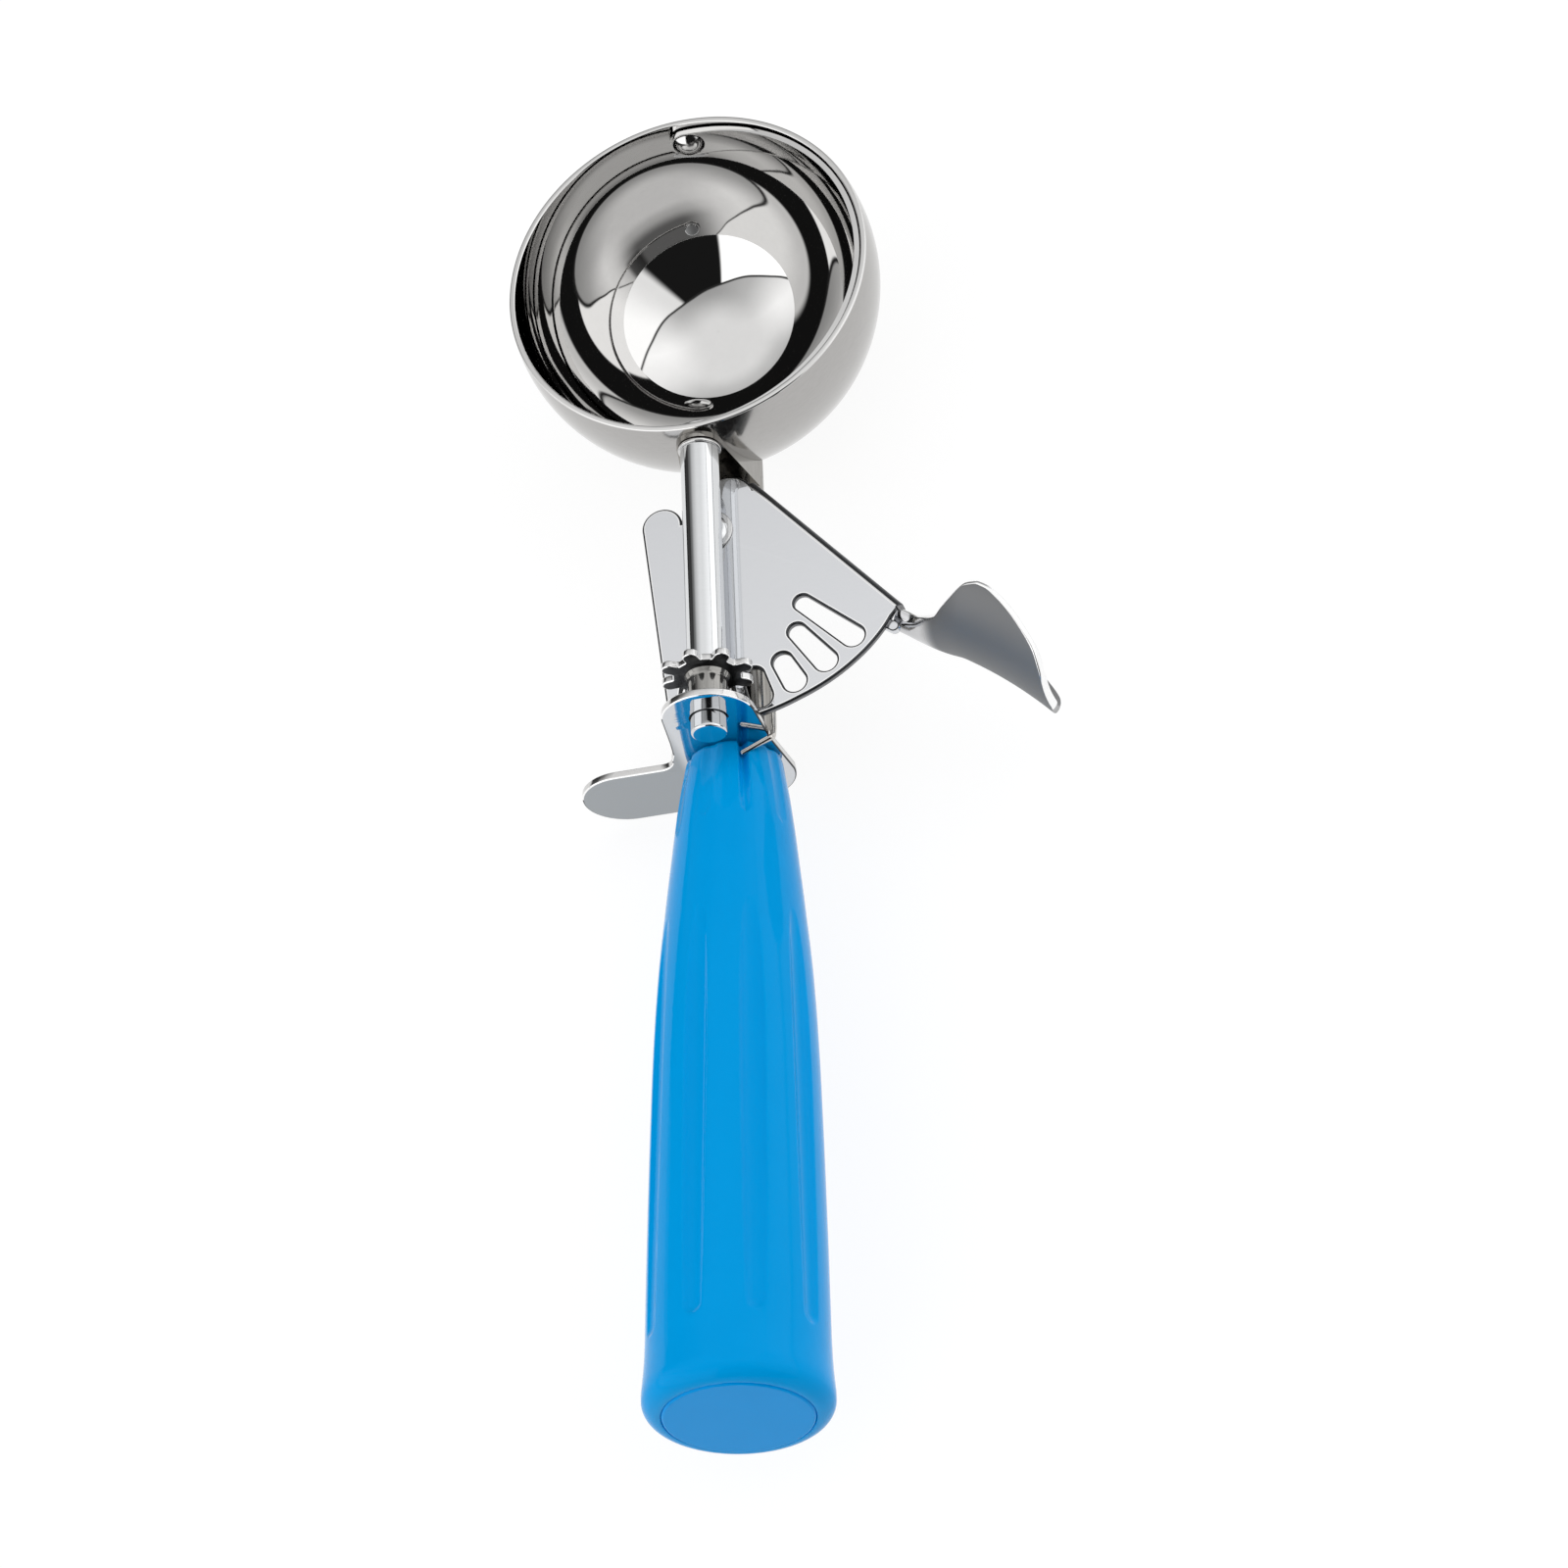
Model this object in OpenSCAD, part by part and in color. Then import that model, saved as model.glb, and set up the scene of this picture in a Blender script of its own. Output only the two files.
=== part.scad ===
// Lever ice cream scoop (portion disher) with a swept blade, lying on its back, bowl opening up.
// Working frame of every module: the bowl's centre is the origin, +Y runs along the blade shaft
// towards the far side of the bowl, +Z is the bowl's opening and +X is the thumb lever's side.

/* [Bowl] */
// Outer radius of the bowl
bowl_r = 28.9; // [24:0.1:34]
// Thickness of the bowl's wall
bowl_wall = 0.9; // [0.7:0.1:1.4]
// Height of the rim above the bowl's centre
rim_h = 4.4; // [3.8:0.1:6]

/* [Blade] */
// Width of the sweeping blade
blade_w = 5.8; // [4.5:0.1:6.4]
// Thickness of the sweeping blade
blade_t = 0.8; // [0.5:0.1:1]
// Gap between the blade and the bowl's inside
blade_gap = 0.3; // [0.2:0.05:0.5]
// Angle of the resting blade above the shaft's axis
blade_rest = 2.2; // [0:0.1:2.4]
// Radius of the far rivet's shank
rivet_r = 1.5; // [1.2:0.1:1.8]
// Radius of the far rivet's domed head
rivet_head_r = 2.5; // [2.2:0.1:2.8]
// Height of the far rivet's domed head
rivet_head_h = 1.2; // [0.8:0.1:1.6]

/* [Shaft] */
// Radius of the polished shaft
shaft_r = 2.95; // [2.85:0.05:3.1]
// Radius of the shaft where it passes through the bowl
spigot_r = 2.1; // [1.8:0.1:2.3]
// Radius of the shaft where it turns in the bracket plate
journal_r = 2.7; // [2.4:0.05:2.75]
// Length of shaft that stands out below the bracket plate
journal_out = 2.75; // [2:0.05:3.2]
// Thickness of the washer at the shaft's top shoulder
washer_t = 0.5; // [0.4:0.1:1.2]
// Running clearance of a pin in its hole, on the radius
run_gap = 0.06; // [0.02:0.01:0.1]

/* [Pinion] */
// Distance from the bowl's centre to the middle of the pinion
pinion_at = 68.9; // [68.5:0.1:69]
// Thickness of the stamped pinion
pinion_t = 1.1; // [0.9:0.1:1.3]
// Number of lobes on the pinion
lobes = 8; // [8:1:8]
// Radius of the pinion at its lobe tips
pinion_tip_r = 7.2; // [7:0.05:7.3]
// Radius of the pinion between its lobes
pinion_root_r = 4.5; // [4.2:0.05:4.7]
// Radius of each rounded lobe
lobe_r = 1.1; // [1:0.05:1.15]
// Radius of the hub between pinion and bracket plate
hub_r = 3.05; // [3:0.05:3.4]

/* [Lever] */
// Distance from the bowl's centre to the lever's pivot
pivot_at = 41.4; // [41:0.1:42]
// Depth of the lever plate's top face below the shaft's axis
lever_drop = 5.3; // [5.2:0.05:5.5]
// Thickness of the lever plate
lever_t = 1; // [0.8:0.1:1.2]
// Radius of the lever plate's toothed edge
lever_edge_r = 33.3; // [33:0.1:33.4]
// Angle between neighbouring windows
window_pitch = 10.4; // [10.2:0.1:10.4]
// Half width of a window at its outer end
window_w = 1.75; // [1.7:0.05:1.85]
// Angle of the folded edge, below the +X axis
fold_angle = 49.3; // [48:0.1:50]
// Distance from the pivot to the folded edge
fold_at = 9.1; // [8.8:0.1:9.3]
// Depth of the folded flange
flange_h = 3.2; // [2.4:0.1:3.6]
// Width of the tail beside the shaft
tail_w = 6.3; // [5.9:0.1:6.5]

/* [Pivot] */
// Radius of the pivot rivet's shank
pivot_r = 1.9; // [1.7:0.05:2]
// Radius of the pivot rivet's head
pivot_head_r = 2.7; // [2.4:0.1:2.9]
// Radius of the washer under the head
pivot_washer_r = 3.4; // [3.2:0.1:3.7]
// Thickness of that washer
pivot_washer_t = 0.4; // [0.3:0.1:0.5]
// Radius of the spacer that carries the spring
spacer_r = 3; // [2.7:0.1:3.1]
// Thickness of the spring wire
wire_d = 0.95; // [0.8:0.05:1]
// Turns in the spring's coil
coil_turns = 3; // [2:1:3]

/* [Thumb rest] */
// Thickness of the thumb rest's sheet
rest_t = 1.3; // [1:0.1:1.5]
// Radius of the thumb rest's trough
rest_curl_r = 14; // [13:0.5:15]
// Length of the thumb rest from its root to its tip
leaf_len = 30.8; // [29:0.2:32]
// Half width of the leaf, along its curve
leaf_half = 14.3; // [13:0.1:15]
// Radius of the trough at the neck
neck_r = 2.6; // [2.2:0.1:2.8]

/* [Stem] */
// Width of the stem
stem_w = 12.2; // [10.2:0.2:12.6]
// Thickness of the stem
stem_t = 5.8; // [5:0.1:6.4]
// Depth of the stem's middle below the shaft's axis
stem_drop = 14.6; // [14.4:0.1:15.2]
// Width of the tang inside the handle
tang_w = 8; // [6:0.2:9]
// Thickness of the tang
tang_t = 3.4; // [2.6:0.1:3.6]
// Length of the tang inside the handle
tang_len = 78; // [60:1:86]

/* [Bracket plate] */
// Distance from the bowl's centre to the plate's lower face
plate_at = 76.4; // [76.2:0.1:77]
// Thickness of the bracket plate
plate_t = 1.2; // [1:0.1:1.4]
// Radius of the plate's round top
plate_top_r = 7; // [6.8:0.1:7.2]
// Depth of the plate's lower edge below the shaft's axis
plate_drop = 27.2; // [26.6:0.1:28]
// Reach of the finger guard from the shaft's axis
guard_reach = 25.4; // [22:0.2:30]
// Width of the finger guard
guard_w = 13.7; // [12.1:0.2:14.5]

/* [Handle] */
// Tilt of the handle away from the shaft
tilt = 5.9; // [4:0.1:7]
// Length of the handle
grip_len = 108.2; // [98:0.1:120]
// Radius of the handle at its neck
neck_grip_r = 7.5; // [7.1:0.05:7.9]
// Radius of the handle at its grooved end
butt_r = 13.1; // [12.4:0.1:14]
// Extra radius of the rounded bead at the butt
bead = 0.36; // [0.1:0.02:0.8]
// Number of grooves round the handle
grooves = 9; // [6:1:10]
// Radius of each groove's hollow
groove_r = 3; // [2:0.1:3.4]
// Depth of a groove at its lower end
groove_depth = 0.65; // [0.4:0.05:1]
// Distance from the butt to the grooves' lower ends
groove_end = 10; // [8:0.5:22]
// Radius of the plug in the butt
plug_r = 10.7; // [9.6:0.1:11.2]
// Depth of the plug's seat
plug_t = 2.6; // [2:0.1:4]

/* [Hidden] */

$fn = 96;
eps = 0.01;           // overlap that makes neighbouring shapes of one solid fuse
fit_gap = 0.02;       // gap on the radius between pressed pieces
seat_gap = 0.1;       // gap between flat faces that slide on each other
body_gap = 0.3;       // gap between bodies that pass each other

bowl_in = bowl_r - bowl_wall;
blade_out = bowl_in - blade_gap;
blade_in = blade_out - blade_t;

lug_r = shaft_r + 0.55;                        // radius of the bearing lug round the shaft
lug_t = 0.9;                                   // thickness of that lug, below the bowl
lug_y = -sqrt(pow(bowl_r, 2) - pow(lug_r, 2)) - lug_t;
washer_y = lug_y - seat_gap;                   // the washer's upper face
shoulder_y = washer_y - washer_t;              // the shaft's upper shoulder
pinion_top = -pinion_at + pinion_t / 2;
pinion_low = -pinion_at - pinion_t / 2;
plate_top = -plate_at + plate_t;
hub_low = plate_top + body_gap;

lever_top = -lever_drop;
lever_low = lever_top - lever_t;
mesh_r = pinion_at - pivot_at;                 // from the pivot to the pinion
phase = 0.19;                                  // share of a pitch by which the gear rests off centre
skew = 3;                                      // turn of each window from the pivot's radius
windows = 6;
window_end = lever_edge_r - 1.1;               // where the windows end
window_in = [25.4, 25.4, 25.2, 24.9, 22, 18.9]; // where each window starts
window_taper = [0.15, 0.15, 0.15, 0.25, 0.4, 0.45]; // and how much narrower it is there

fold_dir = [cos(-fold_angle), sin(-fold_angle)];
fold_out = [cos(90 - fold_angle), sin(90 - fold_angle)];
fold_from = 1.6;                               // the fold starts this far back from its foot
fold_to = 32.1;                                // and ends this far along it
bend_r = 1.3;

stem_top = -stem_drop + stem_t / 2;
stem_low = -stem_drop - stem_t / 2;
spring_low = stem_top + body_gap;
spring_high = lever_low - body_gap;
coil_r = spacer_r + wire_d / 2 + 0.25;

handle_z = -14.2;                              // height of the handle's axis at the plate
plug_proud = 0.2;
groove_turn = 26.5;                            // where the first groove lies, from the top
butt_round = 2.6;                              // rounding of the butt's corner

thumb_angle = 36.6;                            // direction of the thumb rest, below +X
thumb_root_r = 33.2;                           // where its neck leaves the lever plate
neck_z = -lever_drop - lever_t - 0.06 - neck_r; // height of the trough's middle line at the neck
leaf_z = neck_z + 3.8;                         // and over the leaf

// The box round the whole part sets the origin: middle of its length and width, on the counter.
butt_y = -plate_at - (grip_len + plug_proud) * cos(tilt) - (plug_r - 0.3) * sin(tilt);
tip_x = cos(-thumb_angle) * (thumb_root_r + leaf_len) - 0.4;
part_x = (tip_x - bowl_r) / 2;
part_y = (bowl_r + 0.5 + butt_y) / 2;
part_z = -bowl_r;

steel = [0.78, 0.79, 0.8];
bright = [0.86, 0.87, 0.88];
dark_steel = [0.6, 0.61, 0.62];
blue = [0.0, 0.58, 0.88];

// ---------- helpers ----------

module place() {
    translate([-part_x, -part_y, -part_z]) children();
}

// A cylinder along Y, from y = a down to y = b.
module rod(r, a, b) {
    translate([0, a, 0]) rotate([90, 0, 0]) cylinder(r = r, h = a - b);
}

// A flat shape drawn in X and Z, thick from y = a down to y = b.
module slab(a, b) {
    translate([0, a, 0]) rotate([90, 0, 0]) linear_extrude(height = a - b) children();
}

module at_pivot() {
    translate([0, -pivot_at, 0]) children();
}

// Frame of the handle: origin on its axis at the plate, -Y down the handle.
module on_handle() {
    translate([0, -plate_at, handle_z]) rotate([-tilt, 0, 0]) children();
}

function arc(c, r, a0, a1, n) =
    [for (i = [0:n]) c + r * [cos(a0 + (a1 - a0) * i / n), sin(a0 + (a1 - a0) * i / n)]];

// Triangle indices of a closed sweep: n rings of m points, both ends capped.
function sweep_faces(n, m) = concat(
    [[for (j = [0:m - 1]) j]],
    [for (i = [0:n - 2], j = [0:m - 1]) [i * m + j, (i + 1) * m + j, (i + 1) * m + (j + 1) % m]],
    [for (i = [0:n - 2], j = [0:m - 1]) [i * m + j, (i + 1) * m + (j + 1) % m, i * m + (j + 1) % m]],
    [[for (j = [m - 1:-1:0]) (n - 1) * m + j]]
);

// ---------- bowl ----------

module bowl() {
    color(steel) place() difference() {
        sphere(r = bowl_r, $fn = 128);
        sphere(r = bowl_in, $fn = 128);
        translate([0, 0, rim_h + bowl_r]) cube(2 * bowl_r, center = true);
        rod(rivet_r + fit_gap, 2 * bowl_r, 0);
        rod(spigot_r + run_gap, 0, -2 * bowl_r);
    }
}

// Far pivot of the blade: a rivet with a domed head inside and a thin flat head outside.
module bowl_rivet() {
    head_y = sqrt(pow(blade_in, 2) - pow(rivet_head_r, 2)) - seat_gap;
    dome_r = (pow(rivet_head_r, 2) + pow(rivet_head_h, 2)) / (2 * rivet_head_h);
    color(bright) place() {
        rod(rivet_r, bowl_r + 0.25, head_y - eps);
        rod(rivet_head_r - 0.2, bowl_r + 0.5, bowl_r);
        intersection() {
            translate([0, head_y - rivet_head_h + dome_r, 0]) sphere(r = dome_r);
            rod(rivet_head_r + 1, head_y, head_y - rivet_head_h - 1);
        }
    }
}

// ---------- blade and its shaft ----------

module scraper_blade() {
    half = blade_w / 2;
    color(bright) place() rotate([0, -blade_rest, 0]) difference() {
        intersection() {
            difference() {
                sphere(r = blade_out, $fn = 128);
                sphere(r = blade_in, $fn = 128);
            }
            union() {
                translate([0, -bowl_r, -half]) cube([bowl_r, 2 * bowl_r, blade_w]);
                rod(half, bowl_r, 0);
                rod(half + 0.4, 0, -bowl_r);
            }
        }
        rod(rivet_r + run_gap, bowl_r, 0);
        rod(spigot_r + fit_gap, 0, -bowl_r);
    }
}

module scraper_shaft() {
    peen_y = -blade_in + 0.9;
    color(bright) place() {
        rod(spigot_r, peen_y - eps, shoulder_y - eps);
        rod(spigot_r + 0.5, peen_y, -blade_in + 0.15);
        rod(shaft_r, shoulder_y, pinion_top);
        rod(journal_r, pinion_top + eps, -plate_at - journal_out);
    }
}

module shaft_washer() {
    color(steel) place() difference() {
        rod(shaft_r + 0.35, washer_y, shoulder_y);
        rod(spigot_r + fit_gap, 0, -2 * bowl_r);
    }
}

module pinion_outline() {
    centre_r = pinion_tip_r - lobe_r;
    circle(r = pinion_root_r);
    for (i = [0:lobes - 1]) rotate(-90 + (phase + i) * 360 / lobes) {
        translate([0, -lobe_r]) square([centre_r, 2 * lobe_r]);
        translate([centre_r, 0]) circle(r = lobe_r, $fn = 32);
    }
}

module pinion() {
    color(steel) place() difference() {
        slab(pinion_top, pinion_low) pinion_outline();
        rod(journal_r + fit_gap, 0, -2 * pinion_at);
    }
}

// Sleeve that keeps the pinion off the bracket plate, flared where it backs the pinion.
module pinion_hub() {
    flare = 0.8;
    color(dark_steel) place() difference() {
        union() {
            rod(hub_r, pinion_low, hub_low);
            translate([0, pinion_low, 0]) rotate([90, 0, 0]) cylinder(r1 = hub_r + 0.4, r2 = hub_r, h = flare);
        }
        rod(journal_r + fit_gap, 0, -2 * pinion_at);
    }
}

// ---------- stem, tang and bracket plate ----------

// Flat bar with round edges, centred at c.
function bar_low(c, w, t) = concat(
    arc([c[0] - (w - t) / 2, c[1]], t / 2, 180, 270, 12),
    arc([c[0] + (w - t) / 2, c[1]], t / 2, 270, 360, 12)
);
function bar_high(c, w, t) = concat(
    arc([c[0] + (w - t) / 2, c[1]], t / 2, 0, 90, 12),
    arc([c[0] - (w - t) / 2, c[1]], t / 2, 90, 180, 12)
);

// Outline of the foot that is welded to the bowl, seen along the shaft.
module foot_outline(top_r, half_low) {
    polygon(concat(arc([0, 0], top_r, 0, 180, 48), bar_low([0, -stem_drop], 2 * half_low, stem_t)));
}

// Flat tang, drawn from the side: straight through the bracket plate, then along the handle's axis.
module tang() {
    half = tang_t / 2;
    along = tang_len * [-cos(tilt), sin(tilt)];
    across = half * [sin(tilt), cos(tilt)];
    bend = [-plate_at, handle_z];
    start = -plate_at + plate_t + 0.5;
    translate([-tang_w / 2, 0, 0]) rotate([90, 0, 90]) linear_extrude(height = tang_w)
        polygon([[start, handle_z + half], bend + [0, half], bend + along + across,
                 bend + along - across, bend - [0, half], [start, handle_z - half]]);
}

module stem() {
    half_w = stem_w / 2;
    color(steel) place() difference() {
        union() {
            slab(0, lug_y) foot_outline(lug_r, half_w);
            slab(lug_y + 2, -plate_at + plate_t)
                polygon(concat(bar_low([0, -stem_drop], stem_w, stem_t), bar_high([0, -stem_drop], stem_w, stem_t)));
            tang();
        }
        sphere(r = bowl_r + fit_gap, $fn = 128);
        rod(spigot_r + run_gap, 0, -2 * bowl_r);
        at_pivot() translate([0, 0, stem_low - 1]) cylinder(r = pivot_r + fit_gap, h = stem_t + 2);
        at_pivot() translate([0, 0, stem_low - 1]) cylinder(r = pivot_head_r + 0.3, h = 2);
    }
}

module plate_outline() {
    low_r = 8;
    low_x = plate_top_r + 1 - low_r;
    left = plate_top_r + 1.9;
    guard_r = guard_w / 2;
    guard_top = -plate_drop + guard_w;
    fillet = 2.4;
    polygon(concat(
        arc([0, 0], plate_top_r, 0, 176.7, 44),
        [[-left + 1.65, -2], [-left + 1.2, -6], [-left + 0.7, -9.4]],
        arc([-left - fillet, guard_top + fillet], fillet, 0, -90, 8),
        arc([-guard_reach + guard_r, guard_top - guard_r], guard_r, 90, 270, 32),
        arc([low_x, -plate_drop + low_r], low_r, -90, 0, 20),
        [[plate_top_r, -9.4]]
    ));
}

module bracket_plate() {
    color(bright) place() difference() {
        slab(plate_top, -plate_at) plate_outline();
        rod(journal_r + run_gap, 0, -2 * plate_at);
        slab(0, -2 * plate_at)
            translate([0, handle_z]) square([tang_w + 2 * fit_gap, tang_t + 2 * fit_gap], center = true);
    }
}

// ---------- lever ----------

// One window: a slot that widens outwards, skewed a little from the pivot's radius.
module window(inner, taper) {
    w_in = window_w - taper;
    near = inner + w_in;
    far = window_end - window_w;
    translate([mesh_r, 0]) rotate(skew) translate([-mesh_r, 0]) {
        translate([near, 0]) circle(r = w_in, $fn = 48);
        translate([far, 0]) circle(r = window_w, $fn = 48);
        polygon([[near, -w_in], [far, -window_w], [far, window_w], [near, w_in]]);
    }
}

// Round edge of the lever plate, which stands a little prouder towards its corner.
edge_bulge = [[0, -68], [0.2, -60], [0.34, -52], [0.4, -46], [0.36, -40], [0.2, -36]];

module lever_outline() {
    corner = fold_at * fold_out + fold_to * fold_dir;
    apex = fold_at * fold_out - fold_from * fold_dir;
    left_x = -7.5;
    tail_top = 2.4;
    tail_x = -7.75;
    r = tail_w / 2;
    low = -sqrt(pow(lever_edge_r, 2) - pow(left_x, 2));
    intersection() {
        circle(r = lever_edge_r, $fn = 180);
        polygon([apex, corner + fold_dir, [22, -40], [left_x, -40], [left_x, low], [tail_x - r, tail_top],
                 [-3, 0], [-3.6, 2], [-3.6, 5.4], [-1.2, 7.4], [2.6, 9.3]]);
    }
    polygon(concat([[0, -20]], [for (p = edge_bulge) (lever_edge_r + p[0]) * [cos(p[1]), sin(p[1])]],
                   [corner, corner - 6 * fold_dir]));
    translate([tail_x, tail_top]) circle(r = r);
    translate([2.6, 4.9]) circle(r = 4.4);
    translate([0, 5]) circle(r = 3.6);
}

module lever_plate() {
    color(steel) place() at_pivot() difference() {
        union() {
            translate([0, 0, lever_low]) linear_extrude(height = lever_t) lever_outline();
            translate([0, 0, lever_top]) rotate(-fold_angle) flange();
            rotate(-thumb_angle) translate([thumb_root_r, 0, lever_low - rest_t])
                linear_extrude(height = rest_t + eps) tab_outline();
        }
        translate([0, 0, lever_low - 1]) cylinder(r = pivot_r + run_gap, h = lever_t + 2);
        for (i = [0:windows - 1]) rotate(-90 + (phase - 1 + i) * window_pitch)
            translate([0, 0, lever_low - 1]) linear_extrude(height = lever_t + 2)
                window(window_in[i], window_taper[i]);
    }
}

// Thick tab under the corner, beside the thumb rest's neck.
module tab_outline() {
    translate([-5, -1.4]) square([6.05, 1.6]);
    translate([1.05, -0.6]) circle(r = 0.8, $fn = 32);
}

// Folded edge, drawn along +X at y = fold_at: a rounded bend and a flange that hangs down.
module flange() {
    translate([-fold_from, fold_at, 0]) rotate([90, 0, 90]) linear_extrude(height = fold_to + fold_from)
        difference() {
            union() {
                translate([-eps, -bend_r]) intersection() {
                    circle(r = bend_r, $fn = 48);
                    square(bend_r);
                }
                translate([bend_r - lever_t - eps, -flange_h - lever_t])
                    square([lever_t, flange_h + lever_t - bend_r + eps]);
                translate([-eps - 1, -lever_t]) square([1 + bend_r - lever_t + eps, lever_t - eps]);
            }
        }
}

// ---------- thumb rest ----------

// Half width of the sheet, along its curve, against the distance from the root (both as shares).
leaf_shape = [[0, 0.283], [0.096, 0.293], [0.177, 0.35], [0.27, 0.427], [0.32, 0.575], [0.362, 0.71],
              [0.398, 0.836], [0.427, 0.922], [0.455, 0.961], [0.494, 0.997], [0.537, 1.001], [0.612, 0.966],
              [0.705, 0.896], [0.768, 0.83], [0.835, 0.749], [0.882, 0.672], [0.92, 0.555], [0.95, 0.41],
              [0.972, 0.232], [0.99, 0.109], [1, 0.051]];
function rest_half(s) = leaf_half * lookup(s / leaf_len, leaf_shape);

// Over the neck the sheet is a quarter pipe, over the leaf a wide trough.
function opening(s) = let (t = min(1, max(0, (s - 2) / 8))) t * t * (3 - 2 * t);
function lift(s) = let (t = min(1, max(0, (s - 3) / 10))) t * t * (3 - 2 * t);
function rest_radius(s) = neck_r + (rest_curl_r - neck_r) * opening(s);
function rest_low(s) = let (h = rest_half(s)) min(h, 1.4 + (h - 1.4) * min(1, max(0, (s - 1) / 9)));

// A point of the sheet: s along it, w across it (along the curve), d through its thickness.
function rest_point(s, w, d) = let (
        r = rest_radius(s),
        a = w / r * 180 / PI,
        bow = 1.9 * pow(max(0, (s - 14) / (leaf_len - 14.2)), 2))
    [s, r - (r - d) * cos(a) - bow, (r - d) * sin(a) + neck_z + (leaf_z - neck_z) * lift(s)];

function rest_ring(s, m) = let (lo = -rest_low(s), hi = rest_half(s)) concat(
    [for (j = [0:m]) rest_point(s, lo + (hi - lo) * j / m, 0)],
    [for (j = [m:-1:0]) rest_point(s, lo + (hi - lo) * j / m, rest_t)]
);

module thumb_rest() {
    rings = 44;
    across = 16;
    points = [for (i = [0:rings]) each rest_ring(leaf_len * i / rings, across)];
    color(steel) place() at_pivot() rotate(-thumb_angle) translate([thumb_root_r, 0, 0]) {
        polyhedron(points = points, faces = sweep_faces(rings + 1, 2 * across + 2));
    }
}

// ---------- pivot and spring ----------

module pivot_rivet() {
    head_low = lever_top + seat_gap + pivot_washer_t;
    color(bright) place() at_pivot() {
        translate([0, 0, stem_low]) cylinder(r = pivot_r, h = head_low - stem_low + eps);
        translate([0, 0, head_low]) cylinder(r1 = pivot_head_r, r2 = pivot_head_r - 0.5, h = 0.6);
        translate([0, 0, stem_low]) cylinder(r = pivot_head_r, h = 1 - fit_gap);
    }
}

module pivot_washer() {
    color(steel) place() at_pivot() translate([0, 0, lever_top + seat_gap]) difference() {
        cylinder(r = pivot_washer_r, h = pivot_washer_t);
        translate([0, 0, -1]) cylinder(r = pivot_r + fit_gap, h = 3);
    }
}

module pivot_spacer() {
    color(dark_steel) place() at_pivot() translate([0, 0, stem_top]) difference() {
        cylinder(r = spacer_r, h = lever_low - seat_gap - stem_top);
        translate([0, 0, -1]) cylinder(r = pivot_r + fit_gap, h = 20);
    }
}

// Route of the spring: hook below the plate, fixed leg, coil round the spacer, moving leg.
hook_x = plate_top_r + wire_d / 2 + 0.12;
hook_y = -plate_at + pivot_at;
coil_start = 20;
coil_end = coil_start + 360 * coil_turns + 250;
fixed_leg = [
    [2.7, hook_y - 2.5, -7.75],
    [hook_x - 0.6, hook_y - 0.85, -7.4],
    [hook_x - 0.1, hook_y - 0.5, -7.4],
    [hook_x, hook_y, -7.4],
    [hook_x + 0.03, hook_y + 1.4, -7.4],
    [hook_x - 0.2, -20, -8.2],
    [coil_r + 1, -6, spring_low + wire_d / 2 + 0.1]
];
function coil_point(a) = let (t = (a - coil_start) / (coil_end - coil_start))
    [coil_r * cos(a), coil_r * sin(a),
     spring_low + wire_d / 2 + t * (spring_high - spring_low - wire_d)];
moving_leg = [for (s = [3, 8, 14.2])
    coil_point(coil_end) + s * [-sin(coil_end), cos(coil_end), 0]];

module return_spring() {
    sides = 8;
    route = concat(fixed_leg, [for (a = [coil_start:24:coil_end]) coil_point(a)], moving_leg);
    n = len(route);
    tangents = [for (i = [0:n - 1]) let (v = route[min(n - 1, i + 1)] - route[max(0, i - 1)]) v / norm(v)];
    points = [for (i = [0:n - 1]) let (
            t = tangents[i],
            up = abs(t[2]) > 0.9 ? [1, 0, 0] : [0, 0, 1],
            u = cross(t, up) / norm(cross(t, up)),
            v = cross(t, u))
        for (j = [0:sides - 1])
            route[i] + wire_d / 2 * (cos(360 * j / sides) * u + sin(360 * j / sides) * v)];
    color(dark_steel) place() at_pivot() polyhedron(points = points, faces = sweep_faces(n, sides));
}

// ---------- handle ----------

// Half outline of the grip: distance down from the plate, then radius.
function grip_profile() = let (
        neck = [[0, -0.9], [0.35, -0.55], [1, -0.25], [2, -0.05], [3.2, 0.13], [5.2, 0.45], [7.8, 0.82],
                [12.9, 1.43]],
        swell = [[18.1, 3.64], [23.3, 3.11], [28.4, 2.63], [33.4, 2.15], [38.5, 1.75], [43.4, 1.45],
                 [48.4, 1.2], [55.7, 0.93], [63, 0.74], [72.4, 0.53], [82, 0.35]],
        top = butt_r + bead)
    concat(
        [for (p = neck) [p[0], neck_grip_r + p[1]]],
        [for (p = swell) [p[0], butt_r - p[1]]],
        [[grip_len - 17.2, butt_r - 0.22], [grip_len - 11.2, butt_r - 0.14], [grip_len - 8.6, butt_r - 0.06],
         [grip_len - 6.7, butt_r + 0.05], [grip_len - 4.6, butt_r + 0.23], [grip_len - 3.3, top - 0.02]],
        [for (a = [10:16:90]) [grip_len - butt_round * (1 - sin(a)), top - butt_round * (1 - cos(a))]]
    );

module grip_body() {
    profile = grip_profile();
    reach = 3;
    n = len(profile);
    rotate([90, 0, 0]) rotate_extrude($fn = 120)
        polygon(concat([[0, -reach], [profile[0][1], -reach]], [for (p = profile) [p[1], p[0]]], [[0, grip_len]]));
}

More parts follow.
